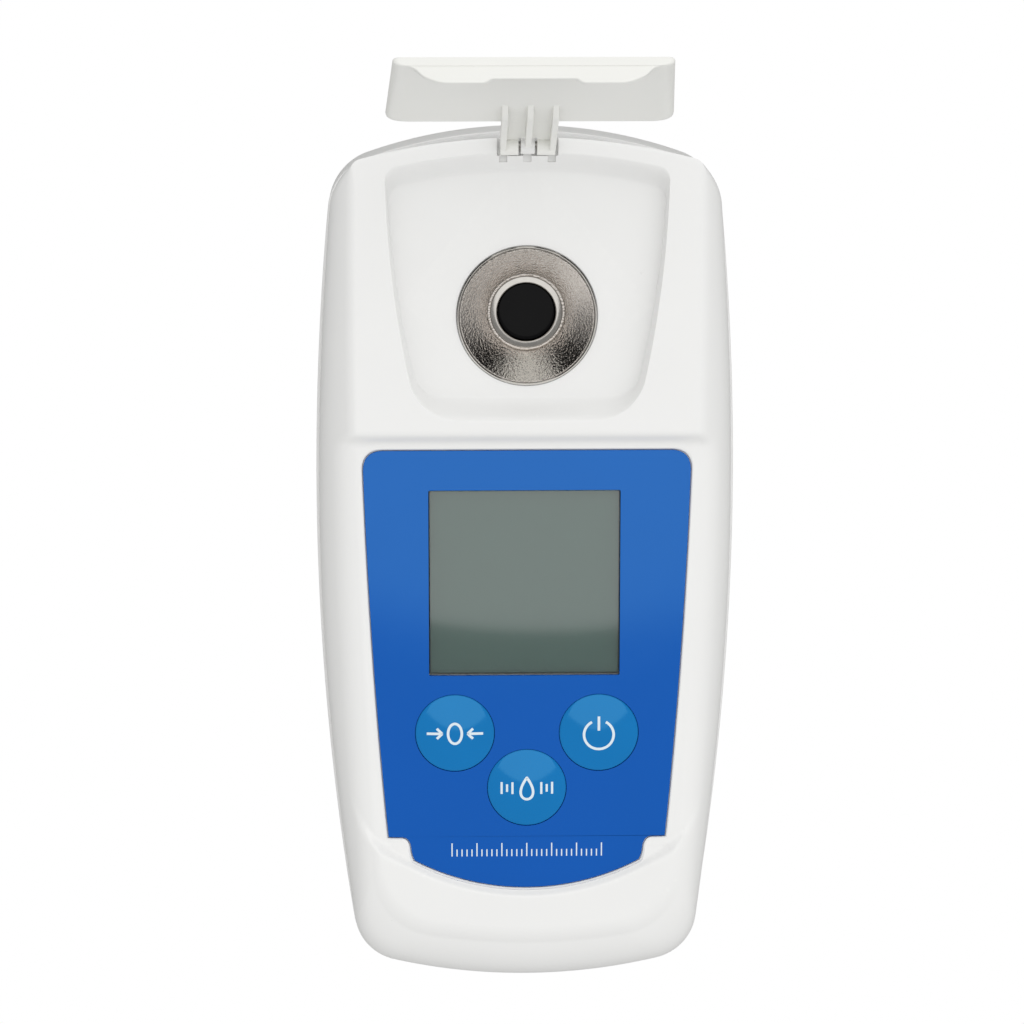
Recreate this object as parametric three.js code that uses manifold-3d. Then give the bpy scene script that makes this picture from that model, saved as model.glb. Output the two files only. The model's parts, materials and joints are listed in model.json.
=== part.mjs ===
// Pocket digital refractometer, built as an assembly.
// Units are millimetres. The instrument lies on its back: +Z leaves its face, +Y points to the
// flip cover's end, and the origin is the middle of the flat back face.
import * as THREE from "three";
import { mergeVertices } from "three/addons/utils/BufferGeometryUtils.js";
import Module from "manifold-3d";

const wasm = await Module();
wasm.setup();

// ---------- driving dimensions ----------
const WALL = 2.0;
const GAP = 0.3;
const AIR = 0.1;

const PARTING_Z = 11.5;
const HEAD_Z = 24.0;
const CHIN_Z = 23.5;
const PANEL_Z = 22.6;
const RECESS_Z = 21.2;
const PANEL_CEILING_Z = 20.6;
const HEAD_CEILING_Z = 19.4;

// Outlines of the case: widest half-width and where it lies, radii of the sides, ends and corners.
const PARTING = {
  side: 28.65, sideY: 10, sideR: 405, top: 60.1, topR: 66, bottom: -59.5, bottomR: 80,
  cornerTop: 7.5, cornerBottom: 7,
};
const FACE = {
  side: 23.85, sideY: 35, sideR: 1200, top: 60.9, topR: 88, bottom: -52, bottomR: 80,
  cornerTop: 1.6, cornerBottom: 9,
};
const BACK = {
  side: 29.05, sideY: 10, sideR: 405, top: 60.5, topR: 66, bottom: -60, bottomR: 80,
  cornerTop: 8, cornerBottom: 7.4,
};
const RECESS_RIM = {
  side: 19.1, sideY: 58, sideR: 145, top: 58.9, topR: 82, bottom: 22.4, bottomR: 400,
  cornerTop: 2, cornerBottom: 7,
};
const RECESS_FLOOR = {
  side: 18.8, sideY: 58, sideR: 128, top: 55.9, topR: 74, bottom: 25.3, bottomR: 400,
  cornerTop: 2, cornerBottom: 3.8,
};
const ARC_DIVISIONS = 3;
const SMALLEST_CORNER = 0.4;
const SAME_POINT = 0.001;

// How far the case has drawn in from the parting outline (0) to the face outline (1), by height.
const DRAFT = [[11.7, 0], [14, 0.06], [17, 0.2], [20, 0.42], [22.2, 0.7], [23.4, 0.9], [HEAD_Z, 1]];
const BACK_ROUNDING = [[0, 4.2], [0.4, 2.6], [1.3, 1.35], [2.6, 0.6], [4.5, 0.2], [11.2, 0]];

const STEP_Y = [18.8, 20.8];
const WELL = { x: 0, y: 36.4, rimR: 9.5, mouthR: 9.1, holeR: 4.15, seatZ: 17.25 };
const HINGE = { y: 59.8, z: 24 };
const FLAP = {
  openDeg: 113, length: 33.2, base: 8.8, baseHalf: 18.95, endHalf: 17.6, under: 0.25, over: 1.35,
  lipZ: -1.95, neckHalf: 3.65, knuckleR: 1.3, ribLength: 17,
};
const EAR = { half: 0.95, r: 1.15 };
const PIN_R = 0.6;

const PANEL = { top: 18.1, topHalf: 22.35, thickness: 0.5, pocket: 0.55, margin: 0.15 };
const WINDOW = { x: -0.35, y: -0.45, w: 26.1, h: 25.9 };
const KEY = { r: 5.35, holeR: 5.65, flangeR: 6.15, travel: 0.4 };
const KEYS = { zero: [-9.95, -21.65], power: [9.95, -21.65], measure: [0, -29.5] };
const CASE_SCREWS = [[-19.5, 48], [19.5, 48], [-18, -47], [18, -47]];
const BOARD_SCREWS = [[-18.4, 14.4], [18.4, 14.4], [-16.5, -33.5], [16.5, -33.5]];
const OPTICS_SCREWS = [[-13, WELL.y], [13, WELL.y]];
const BOARD = { bottom: 15.6, top: 17.2, half: 20.4, y0: -37.5, y1: 18.5 };
const CELL = { r: 5.25, length: 43.3, y0: -52.2, z: 7.65 };

// ---------- finishes ----------
const finish = (color, roughness, metalness = 0) =>
  new THREE.MeshStandardMaterial({ color, roughness, metalness });
const WHITE = finish(0xf1f1ef, 0.3);
const BLUE = finish(0x2460bf, 0.35);
const KEY_BLUE = finish(0x1c77ba, 0.3);
const DISPLAY = finish(0x7b8683, 0.15);
const STEEL = finish(0xa9a59f, 0.25, 1);
const DARK_GLASS = finish(0x141414, 0.08);
const CLEAR = finish(0xd8dedc, 0.05);
const BLACK = finish(0x1b1b1c, 0.6);
const RUBBER = finish(0x2a2a2b, 0.85);
const BOARD_GREEN = finish(0x1c5b38, 0.5);
const COPPER = finish(0xc08a3a, 0.4, 1);
const CELL_JACKET = finish(0x3c4046, 0.4);

// ---------- shape helpers ----------
function solid(geometry) {
  const bare = geometry.clone();
  bare.deleteAttribute("normal");
  bare.deleteAttribute("uv");
  const merged = mergeVertices(bare, 1e-4);
  return new wasm.Manifold(new wasm.Mesh({
    numProp: 3,
    vertProperties: new Float32Array(merged.attributes.position.array),
    triVerts: new Uint32Array(merged.index.array),
  }));
}

function geometryOf(manifold) {
  const cut = manifold.getMesh();
  const geometry = new THREE.BufferGeometry();
  geometry.setAttribute("position", new THREE.BufferAttribute(cut.vertProperties, 3));
  geometry.setIndex(new THREE.BufferAttribute(cut.triVerts, 1));
  return geometry;
}

const joined = (...solids) => solids.reduce((sum, next) => sum.add(next));
const minus = (body, ...cutters) => cutters.reduce((rest, cutter) => rest.subtract(cutter), body);

function block([x0, x1], [y0, y1], [z0, z1]) {
  const geometry = new THREE.BoxGeometry(x1 - x0, y1 - y0, z1 - z0);
  return solid(geometry.translate((x0 + x1) / 2, (y0 + y1) / 2, (z0 + z1) / 2));
}

function post(r, [z0, z1], [x, y], segments = 20) {
  const geometry = new THREE.CylinderGeometry(r, r, z1 - z0, segments);
  return solid(geometry.rotateX(Math.PI / 2).translate(x, y, (z0 + z1) / 2));
}

function rodX(r, [x0, x1], [y, z], segments = 16) {
  const geometry = new THREE.CylinderGeometry(r, r, x1 - x0, segments);
  return solid(geometry.rotateZ(Math.PI / 2).translate((x0 + x1) / 2, y, z));
}

function rodY(r, [y0, y1], [x, z], segments = 20) {
  const geometry = new THREE.CylinderGeometry(r, r, y1 - y0, segments);
  return solid(geometry.translate(x, (y0 + y1) / 2, z));
}

// A profile of [radius, height] points turned about an upright axis at [x, y].
function turned(profile, [x, y], segments = 36) {
  const points = profile.map(([r, z]) => new THREE.Vector2(r, z));
  const geometry = new THREE.LatheGeometry(points, segments);
  return solid(geometry.rotateX(Math.PI / 2).translate(x, y, 0));
}

function plate(shape, [z0, z1], curveSegments = 6) {
  const options = { depth: z1 - z0, bevelEnabled: false, curveSegments };
  return solid(new THREE.ExtrudeGeometry(shape, options).translate(0, 0, z0));
}

const polygon = (points) => new THREE.Shape(points.map(([a, b]) => new THREE.Vector2(a, b)));

// A section of [x, z] points drawn out along Y.
function barY(section, [y0, y1]) {
  const options = { depth: y1 - y0, bevelEnabled: false };
  const geometry = new THREE.ExtrudeGeometry(polygon(section), options);
  return solid(geometry.rotateX(Math.PI / 2).translate(0, y1, 0));
}

// A section of [y, z] points drawn out along X.
function barX(section, [x0, x1]) {
  const options = { depth: x1 - x0, bevelEnabled: false };
  const geometry = new THREE.ExtrudeGeometry(polygon(section), options);
  geometry.rotateX(Math.PI / 2).rotateZ(Math.PI / 2);
  return solid(geometry.translate(x0, 0, 0));
}

// A skin through closed rings of equal point counts, lowest first, with flat ends.
function loft(rings) {
  const count = rings[0].points.length;
  const vertices = rings.flatMap(({ z, points }) => points.flatMap(({ x, y }) => [x, y, z]));
  const indices = [];
  const last = (rings.length - 1) * count;
  for (const [a, b, c] of THREE.ShapeUtils.triangulateShape(rings[0].points, [])) {
    indices.push(a, c, b);
  }
  for (const [a, b, c] of THREE.ShapeUtils.triangulateShape(rings.at(-1).points, [])) {
    indices.push(last + a, last + b, last + c);
  }
  for (let level = 0; level < rings.length - 1; level += 1) {
    for (let i = 0; i < count; i += 1) {
      const a = level * count + i;
      const b = level * count + ((i + 1) % count);
      indices.push(a, b, b + count, a, b + count, a + count);
    }
  }
  const geometry = new THREE.BufferGeometry();
  geometry.setAttribute("position", new THREE.Float32BufferAttribute(vertices, 3));
  geometry.setIndex(indices);
  return solid(geometry);
}

// Centre of the corner arc that touches the side circle and an end circle from inside.
function cornerCentre(sideX, sideY, sideR, endY, endR, r, direction) {
  const a = sideR - r;
  const b = endR - r;
  const dx = -sideX;
  const dy = endY - sideY;
  const d = Math.hypot(dx, dy);
  const along = (a * a - b * b + d * d) / (2 * d);
  const across = Math.sqrt(a * a - along * along) * direction;
  return {
    x: sideX + (along * dx - across * dy) / d,
    y: sideY + (along * dy + across * dx) / d,
  };
}

// Closed outline of two long side arcs and two end arcs with round corners.
function caseOutline(size, inset = 0) {
  const round = (r) => Math.max(r - inset, SMALLEST_CORNER);
  const sideR = size.sideR - inset;
  const sideX = size.side - size.sideR;
  const topR = size.topR - inset;
  const topY = size.top - size.topR;
  const bottomR = size.bottomR - inset;
  const bottomY = size.bottom + size.bottomR;
  const rt = round(size.cornerTop);
  const rb = round(size.cornerBottom);
  const high = cornerCentre(sideX, size.sideY, sideR, topY, topR, rt, 1);
  const low = cornerCentre(sideX, size.sideY, sideR, bottomY, bottomR, rb, -1);
  const topTurn = Math.atan2(high.y - topY, high.x);
  const sideHigh = Math.atan2(high.y - size.sideY, high.x - sideX);
  const sideLow = Math.atan2(low.y - size.sideY, low.x - sideX);
  const bottomTurn = Math.atan2(low.y - bottomY, low.x);
  const outline = new THREE.Shape();
  outline.absarc(0, bottomY, bottomR, -Math.PI - bottomTurn, bottomTurn);
  outline.absarc(low.x, low.y, rb, bottomTurn, sideLow);
  outline.absarc(sideX, size.sideY, sideR, sideLow, sideHigh);
  outline.absarc(high.x, high.y, rt, sideHigh, topTurn);
  outline.absarc(0, topY, topR, topTurn, Math.PI - topTurn);
  outline.absarc(-high.x, high.y, rt, Math.PI - topTurn, Math.PI - sideHigh);
  outline.absarc(-sideX, size.sideY, sideR, Math.PI - sideHigh, Math.PI - sideLow);
  outline.absarc(-low.x, low.y, rb, Math.PI - sideLow, Math.PI - bottomTurn);
  return outline;
}

// The outline's points, with the doubled points where two arcs meet left out.
function outlinePoints(shape, divisions) {
  const points = shape.getPoints(divisions);
  return points.filter((point, i) => point.distanceTo(points.at(i - 1)) > SAME_POINT);
}

const ringAt = (z, size, inset = 0) => ({ z, points: outlinePoints(caseOutline(size, inset), ARC_DIVISIONS) });

function mixed(share) {
  const keys = Object.keys(PARTING);
  return Object.fromEntries(keys.map((k) => [k, THREE.MathUtils.lerp(PARTING[k], FACE[k], share)]));
}

// ---------- front shell ----------
function panelShape(margin = 0) {
  const half = PANEL.topHalf + margin;
  const top = PANEL.top + margin;
  const corner = 2.8;
  const notchY = -36.6 - margin;
  const arcR = 32.7 + margin;
  const arcY = -11.2;
  const arcTurn = Math.asin((15.6 + margin) / arcR);
  const shape = new THREE.Shape();
  shape.moveTo(-half + corner, top);
  shape.quadraticCurveTo(-half, top, -half, top - corner);
  shape.quadraticCurveTo(-21.5 - margin, -12, -19.2 - margin, notchY);
  shape.lineTo(-17.4 - margin, notchY);
  shape.quadraticCurveTo(-16.3 - margin, notchY, -16.1 - margin, notchY - 1.4);
  shape.absarc(0, arcY, arcR, -Math.PI / 2 - arcTurn, -Math.PI / 2 + arcTurn);
  shape.lineTo(16.1 + margin, notchY - 1.4);
  shape.quadraticCurveTo(16.3 + margin, notchY, 17.4 + margin, notchY);
  shape.lineTo(19.2 + margin, notchY);
  shape.quadraticCurveTo(21.5 + margin, -12, half, top - corner);
  shape.quadraticCurveTo(half, top, half - corner, top);
  return shape;
}

// Cutter that lowers the rails to panel level and leaves the raised chin below them.
function railCutter() {
  const wide = 32;
  const floor = [[25.4, -28.6], [23.3, -33], [21.2, -36.4], [18.9, -37.5]];
  const brow = [[25.8, -31.5], [22.8, -36.4], [20, -39.3], [17.8, -40.6]];
  const ring = (z, edge) => {
    const right = [[wide, STEP_Y[0]], [wide, edge[0][1] + 4], ...edge];
    const left = right.map(([x, y]) => [-x, y]).reverse();
    return { z, points: [...right, ...left].reverse().map(([x, y]) => new THREE.Vector2(x, y)) };
  };
  const step = [[STEP_Y[0] - AIR, PANEL_Z], [STEP_Y[0], PANEL_Z], [STEP_Y[1], HEAD_Z], [STEP_Y[1], 30],
    [STEP_Y[0] - AIR, 30]];
  const plan = loft([ring(PANEL_Z, floor), ring(CHIN_Z, brow), ring(30, brow)]);
  return plan.add(barX(step, [-wide, wide]));
}

function frontCavity() {
  const levels = [[PARTING_Z - 1, 0], [14, 0.1], [17, 0.3], [19, 0.52], [PANEL_CEILING_Z, 0.75]];
  const hollow = loft(levels.map(([z, share]) => ringAt(z, mixed(share), WALL)));
  const chest = block([-30, 30], [STEP_Y[0] + WALL, 62], [HEAD_CEILING_Z, HEAD_Z]);
  return hollow.subtract(chest);
}

function frontShell() {
  const body = loft(DRAFT.map(([z, share]) => ringAt(z, mixed(share))));
  const chinTop = block([-32, 32], [-62, -20], [CHIN_Z, 30]);
  const recess = loft([ringAt(RECESS_Z, RECESS_FLOOR), ringAt(HEAD_Z, RECESS_RIM), ringAt(27, RECESS_RIM)]);
  const notch = block([-4.1, 4.1], [57.4, 62], [HEAD_Z - 1.7, 27]);
  let shell = minus(body, railCutter(), chinTop, recess, notch);
  shell = shell.subtract(plate(panelShape(PANEL.margin), [PANEL_Z - PANEL.pocket, 30]));
  shell = shell.subtract(frontCavity());
  for (const at of CASE_SCREWS) {
    const floor = at[1] > 0 ? HEAD_CEILING_Z : PANEL_CEILING_Z;
    shell = shell.add(post(2.6, [PARTING_Z + GAP, floor + AIR], at, 16));
  }
  for (const at of BOARD_SCREWS) {
    shell = shell.add(post(1.9, [BOARD.top + AIR, PANEL_CEILING_Z + AIR], at, 12));
  }
  for (const at of OPTICS_SCREWS) {
    shell = shell.add(post(2.2, [15.2, HEAD_CEILING_Z + AIR], at, 12));
  }
  const ear = joined(
    rodX(EAR.r, [-EAR.half, EAR.half], [HINGE.y, HINGE.z]),
    block([-EAR.half, EAR.half], [HINGE.y - EAR.r, 60.5], [HEAD_Z - 2.2, HEAD_Z]),
  );
  shell = shell.add(ear).subtract(rodX(0.67, [-2, 2], [HINGE.y, HINGE.z]));
  const { x, y, w, h } = WINDOW;
  const pane = block([x - w / 2 - GAP, x + w / 2 + GAP], [y - h / 2 - GAP, y + h / 2 + GAP], [18, 30]);
  shell = minus(shell, pane, post(9.05, [17, 30], [WELL.x, WELL.y], 36));
  for (const at of Object.values(KEYS)) shell = shell.subtract(post(KEY.holeR, [18, 30], at, 28));
  for (const at of CASE_SCREWS) shell = shell.subtract(post(1.4, [10, 18], at, 10));
  for (const at of BOARD_SCREWS) shell = shell.subtract(post(1.05, [16, 19.6], at, 8));
  for (const at of OPTICS_SCREWS) shell = shell.subtract(post(1.05, [14, 18.6], at, 8));
  return shell;
}

// ---------- back shell and battery door ----------
const DOOR_SECTION = [[-8.4, AIR], [8.4, AIR], [9.8, 1.8], [-9.8, 1.8]];
const DOOR_CUT = [[-8.7, -1], [8.7, -1], [8.75, 0], [10.15, 1.8], [10.15, 2.1], [-10.15, 2.1], [-10.15, 1.8],
  [-8.75, 0]];
const DOOR_END = -5;
const DOOR_RAILS = { x: [-11.4, 11.4], y: [-56.5, -3.6], z: [1, 3.4] };

const backBody = () => loft(BACK_ROUNDING.map(([z, inset]) => ringAt(z, BACK, inset)));

function backShell() {
  const levels = [[WALL, 5], [3.2, 3.2], [5, 2.4], [12, WALL]];
  let shell = backBody().subtract(loft(levels.map(([z, inset]) => ringAt(z, BACK, inset))));
  shell = shell.add(block([-8, 8], [-55.95, -4.6], [1, 14.4]));
  shell = shell.add(block(DOOR_RAILS.x, DOOR_RAILS.y, DOOR_RAILS.z));
  for (const at of CASE_SCREWS) shell = shell.add(post(3.3, [0.5, 11.2], at, 16));
  shell = shell.subtract(block([-6.2, 6.2], [-55.2, -6.2], [-1, 13.2]));
  shell = shell.subtract(barY(DOOR_CUT, [-62, DOOR_END + GAP]));
  for (const at of CASE_SCREWS) {
    shell = minus(shell, post(2.5, [-1, 5], at, 16), post(1.45, [4, 12], at, 10));
  }
  return shell;
}

function batteryDoor() {
  const grooves = [-34, -32.4, -30.8, -29.2, -27.6];
  const tongue = barY(DOOR_SECTION, [-62, DOOR_END]);
  return minus(backBody().intersect(tongue), ...grooves.map((y) =>
    block([-4.5, 4.5], [y, y + 0.8], [-1, 0.6])));
}

function gasket() {
  const outer = plate(caseOutline(PARTING, 0.5), [11.28, 11.62], ARC_DIVISIONS);
  return outer.subtract(plate(caseOutline(PARTING, 1.4), [11, 12], ARC_DIVISIONS));
}

// ---------- sample well and optics ----------
const wellBowl = () => turned([
  [WELL.rimR, RECESS_Z + AIR], [WELL.rimR, 21.65], [WELL.mouthR + 0.15, 21.75], [WELL.mouthR, 21.55],
  [5.35, 18.6], [5.2, WELL.seatZ], [WELL.holeR, WELL.seatZ], [WELL.holeR, 15.8], [5.8, 15.8],
  [6.1, 17.7], [8.75, 20.4], [8.75, RECESS_Z + AIR], [WELL.rimR, RECESS_Z + AIR],
], [WELL.x, WELL.y], 40);

const prismRing = () => turned([
  [4.02, 17.35], [4.9, 17.35], [4.9, 17.6], [4.6, 17.8], [4.3, 17.8], [4.02, 17.6], [4.02, 17.35],
], [WELL.x, WELL.y], 32);

function prism() {
  const { x, y } = WELL;
  const wedge = [[y - 2.6, 15.4], [y - 0.6, 11.2], [y + 0.6, 11.2], [y + 2.6, 15.4], [y + 2.6, 15.6], [y - 2.6, 15.6]];
  return post(3.85, [15.4, 17.5], [x, y], 28).add(barX(wedge.reverse(), [-2.6, 2.6]));
}

const sealRing = (inner, outer, [z0, z1]) => turned([
  [inner, z0], [outer, z0], [outer, z1], [inner, z1], [inner, z0],
], [WELL.x, WELL.y], 24);

const LED_Z = 10;

function opticsHousing() {
  const { y } = WELL;
  const walls = block([-10.5, 10.5], [y - 11, y + 11], [5, 15.1]);
  const ears = block([-15, 15], [y - 2.6, y + 2.6], [13.6, 15.1]);
  let housing = minus(joined(walls, ears), block([-9, 9], [y - 9.5, y + 9.5], [6.5, 13.6]));
  housing = minus(
    housing,
    post(4.6, [13, 16], [WELL.x, y], 24),
    rodY(1.75, [y - 12, y - 9], [0, LED_Z], 12),
    block([-7.4, 7.4], [y + 9, y + 12], [LED_Z - 1.8, LED_Z + 1.8]),
  );
  for (const at of OPTICS_SCREWS) housing = housing.subtract(post(1.3, [13, 16], at, 10));
  return housing;
}

function lens() {
  const bulge = [[0, -1.3], [2, -1.05], [3.3, -0.5], [3.3, 0.5], [2, 1.05], [0, 1.3]];
  const points = bulge.map(([r, h]) => new THREE.Vector2(r, h));
  return solid(new THREE.LatheGeometry(points, 20).translate(0, WELL.y + 5.6, LED_Z));
}

function lamp() {
  const back = WELL.y - 11.1;
  const points = [[0, 0], [1.5, 0], [1.5, 2.6], [1.1, 3.7], [0, 4.1]].map(([r, h]) => new THREE.Vector2(r, h));
  return solid(new THREE.LatheGeometry(points, 12).translate(0, back, LED_Z));
}

function thermistor() {
  const bead = new THREE.SphereGeometry(0.9, 10, 6).translate(-4.2, WELL.y, 12.4);
  return solid(bead).add(rodY(0.3, [WELL.y, WELL.y + 6], [-4.2, 12.4], 6));
}

// Flat cable: runs under the optics housing from the sensor board up to the main board.
function ribbonCable() {
  const route = [[49.8, 9], [49.8, 3.6], [48.8, 2.9], [22, 2.9], [20, 4.4], [19.2, 15.4], [17.6, 15.4]];
  const thick = 0.3;
  const back = [...route].reverse().map(([y, z], i, all) => {
    const near = all[Math.max(i - 1, 0)];
    const far = all[Math.min(i + 1, all.length - 1)];
    const length = Math.hypot(near[0] - far[0], near[1] - far[1]);
    return [y - ((near[1] - far[1]) / length) * thick, z + ((near[0] - far[0]) / length) * thick];
  });
  return barX([...route, ...back], [-4, 4]);
}

// ---------- flip cover, in its closed place with the hinge axis at the origin ----------
function flapOutline(inset) {
  const base = FLAP.baseHalf - inset;
  const end = FLAP.endHalf - inset;
  const y0 = -FLAP.base - inset;
  const y1 = -FLAP.length;
  const shape = new THREE.Shape();
  shape.moveTo(base - 2.4, y0);
  shape.quadraticCurveTo(base, y0, base, y0 - 2.4);
  shape.lineTo(end, y1 + 0.8);
  shape.quadraticCurveTo(end, y1, end - 0.8, y1);
  shape.lineTo(-end + 0.8, y1);
  shape.quadraticCurveTo(-end, y1, -end, y1 + 0.8);
  shape.lineTo(-base, y0 - 2.4);
  shape.quadraticCurveTo(-base, y0, -base + 2.4, y0);
  return shape.getPoints(4).slice(0, -1).reverse();
}

function flap() {
  const { under, over, length, base, lipZ, neckHalf, knuckleR } = FLAP;
  const cover = loft([{ z: under, points: flapOutline(1.1) }, { z: over, points: flapOutline(0) }]);
  const lipSection = [[-16, over - 0.5], [-14.4, 0.05], [-12.9, lipZ], [-5.8, lipZ], [-5.4, lipZ + 0.6],
    [5.4, lipZ + 0.6], [5.8, lipZ], [12.9, lipZ], [14.4, 0.05], [16, over - 0.5]];
  const lip = barY(lipSection, [-length, -length + 1]);
  const neck = block([-neckHalf, neckHalf], [-base - 1, 0], [under, over]);
  let body = joined(cover, lip, neck, rodX(knuckleR, [-neckHalf, neckHalf], [0, 0], 20));
  const rib = (x, start) =>
    barX([[start, under + AIR], [-FLAP.ribLength, under + AIR], [-FLAP.ribLength + 2, -1.05], [start, -1.05]]
      .reverse(), [x - 0.4, x + 0.4]);
  body = joined(body, rib(-neckHalf + 0.4, -0.8), rib(0, -2.3), rib(neckHalf - 0.4, -0.8));
  const slot = block([-EAR.half - GAP, EAR.half + GAP], [-2, 2], [-2, 2]);
  return minus(body, slot, rodX(0.7, [-5, 5], [0, 0], 16));
}

// ---------- panel, keys, display, board, cell ----------
function overlay() {
  const { x, y, w, h } = WINDOW;
  let sheet = plate(panelShape(), [PANEL_Z - PANEL.thickness, PANEL_Z]);
  const pane = block([x - w / 2 - AIR, x + w / 2 + AIR], [y - h / 2 - AIR, y + h / 2 + AIR], [20, 24]);
  sheet = sheet.subtract(pane);
  for (const at of Object.values(KEYS)) sheet = sheet.subtract(post(KEY.holeR - 0.1, [20, 24], at, 28));
  return sheet;
}

const keyCap = (at) => turned([
  [0, 19.7], [KEY.flangeR, 19.7], [KEY.flangeR, 20.4], [KEY.r, 20.4], [KEY.r, 22.45], [KEY.r - 0.25, 22.65],
  [3, 22.85], [0, 22.95],
], at, 28);

const switchHousing = ([x, y]) => block([x - 2.3, x + 2.3], [y - 2.3, y + 2.3], [BOARD.top + AIR, 19.05])
  .subtract(post(1.4, [17.8, 20], [x, y], 12));

const switchPlunger = (at) => post(1.2, [18.5, 19.62], at, 12);

function displayCell() {
  const { x, y } = WINDOW;
  return joined(
    block([x - 12.9, x + 12.9], [y - 12.8, y + 12.8], [20, 21.6]),
    block([x - 14.8, x + 14.8], [y - 14.1, y + 16.4], [19.2, 20.3]),
  );
}

function displayHolder() {
  const { x, y } = WINDOW;
  const frame = block([x - 15.8, x + 15.8], [y - 16.3, y + 17.9], [BOARD.top + AIR, 19.1]);
  return frame.subtract(block([x - 14.2, x + 14.2], [y - 13, y + 16.8], [17, 20]));
}

function mainBoard() {
  let board = block([-BOARD.half, BOARD.half], [BOARD.y0, BOARD.y1], [BOARD.bottom, BOARD.top]);
  for (const at of BOARD_SCREWS) board = board.subtract(post(1.3, [15, 18], at, 10));
  return board;
}

// A headed screw whose shank points up; the head's underside is at z.
const screw = (at, z, headR, headH, shankR, shankL) => turned([
  [0, z - headH], [headR * 0.7, z - headH], [headR, z - headH * 0.6], [headR, z], [shankR, z],
  [shankR, z + shankL - 0.6], [0, z + shankL],
], at, 12).subtract(block([at[0] - headR * 0.6, at[0] + headR * 0.6], [at[1] - 0.25, at[1] + 0.25],
  [z - headH - 1, z - headH * 0.55]));

function cell() {
  const { r, length, y0, z } = CELL;
  return rodY(r, [y0, y0 + length], [0, z], 24).add(rodY(1.9, [y0 + length - 1, y0 + length + 1.2], [0, z], 12));
}

class SpringPath extends THREE.Curve {
  getPoint(t) {
    const turn = t * 2 * Math.PI * 3.5;
    const r = 2.4 + 1.9 * (1 - t);
    return new THREE.Vector3(r * Math.cos(turn), -54.8 + 2.2 * t, CELL.z + r * Math.sin(turn));
  }
}

function springContact() {
  const ring = new THREE.Shape().absarc(0, 0, 0.28, 0, 2 * Math.PI);
  const options = { steps: 42, extrudePath: new SpringPath(), curveSegments: 3 };
  return new THREE.ExtrudeGeometry(ring, options);
}

// ---------- the assembly ----------
const refractometer = new THREE.Group();

function put(name, shape, material, parent = refractometer) {
  const geometry = shape.isBufferGeometry ? shape : geometryOf(shape);
  const mesh = new THREE.Mesh(geometry, material);
  mesh.name = name;
  parent.add(mesh);
  return mesh;
}

put("front_shell", frontShell(), WHITE);
put("back_shell", backShell(), WHITE);
put("case_gasket", gasket(), RUBBER);
put("battery_door", batteryDoor(), WHITE);

put("sample_well", wellBowl(), STEEL);
put("prism_ring", prismRing(), STEEL);
put("prism", prism(), DARK_GLASS);
put("prism_seal", sealRing(4.3, 5.4, [15.2, 15.7]), RUBBER);
put("well_seal", sealRing(8.1, 9.2, [18.2, 19.3]), RUBBER);
put("optics_housing", opticsHousing(), BLACK);
put("lens", lens(), CLEAR);
put("lamp", lamp(), CLEAR);
put("lamp_board", block([-5, 5], [WELL.y - 12.6, WELL.y - 11.2], [5.5, 14]), BOARD_GREEN);
put("image_sensor", block([-7, 7], [WELL.y + 9.2, WELL.y + 11.1], [LED_Z - 1.5, LED_Z + 1.5]), BLACK);
put("sensor_board", block([-9.5, 9.5], [WELL.y + 11.2, WELL.y + 12.6], [5, 14.5]), BOARD_GREEN);
put("thermistor", thermistor(), BLACK);
put("ribbon_cable", ribbonCable(), COPPER);

const hinge = new THREE.Group();
hinge.position.set(0, HINGE.y, HINGE.z);
refractometer.add(hinge);
put("flap", flap(), WHITE, hinge).rotation.x = THREE.MathUtils.degToRad(-FLAP.openDeg);
put("hinge_pin", rodX(PIN_R, [-3.6, 3.6], [0, 0], 12), STEEL, hinge);

put("overlay_panel", overlay(), BLUE);
const { x: paneX, y: paneY, w: paneW, h: paneH } = WINDOW;
put("display_window", block([paneX - paneW / 2, paneX + paneW / 2], [paneY - paneH / 2, paneY + paneH / 2],
  [21.7, 22.45]), CLEAR);
put("display_cell", displayCell(), DISPLAY);
put("display_holder", displayHolder(), WHITE);
put("display_reflector", block([paneX - 13.8, paneX + 13.8], [paneY - 12.6, paneY + 13.6], [18.6, 19.1]), WHITE);
put("contact_strip", block([paneX - 13.8, paneX + 13.8], [paneY + 14, paneY + 16.2], [17.3, 19.1]), RUBBER);
put("display_pad", block([paneX - 13.8, paneX + 13.8], [paneY - 12.6, paneY - 11.2], [17.3, 18.5]), RUBBER);
put("main_board", mainBoard(), BOARD_GREEN);
put("controller_chip", block([-5, 5], [3, 13], [14.1, 15.5]), BLACK);
put("memory_chip", block([-13, -8], [5, 9], [14.1, 15.5]), BLACK);
put("clock_crystal", rodY(1, [3, 9], [11, 14.4], 12), STEEL);
for (const [name, at] of Object.entries(KEYS)) {
  put(`key_${name}`, keyCap(at), KEY_BLUE);
  put(`switch_${name}`, switchHousing(at), BLACK);
  put(`plunger_${name}`, switchPlunger(at), BLACK);
}

put("battery", cell(), CELL_JACKET);
put("battery_spring", springContact(), STEEL);
put("battery_plate", block([-4, 4], [-7.2, -6.7], [3.5, 12]), STEEL);
CASE_SCREWS.forEach((at, i) => put(`case_screw_${i + 1}`, screw(at, 4.9, 2.2, 1.8, 1.15, 12), STEEL));
BOARD_SCREWS.forEach((at, i) => put(`board_screw_${i + 1}`, screw(at, 15.5, 1.7, 1.1, 0.9, 3.8), STEEL));
OPTICS_SCREWS.forEach((at, i) => put(`optics_screw_${i + 1}`, screw(at, 13.5, 1.8, 1.1, 0.9, 4.8), STEEL));

export default refractometer;
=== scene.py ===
"""Fine meshes, finishes, light and camera of a pocket digital refractometer.

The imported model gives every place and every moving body. This script puts smooth shells, turned metal,
printed film and small marks on those bodies. Lengths inside the classes are millimetres.
"""

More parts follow.
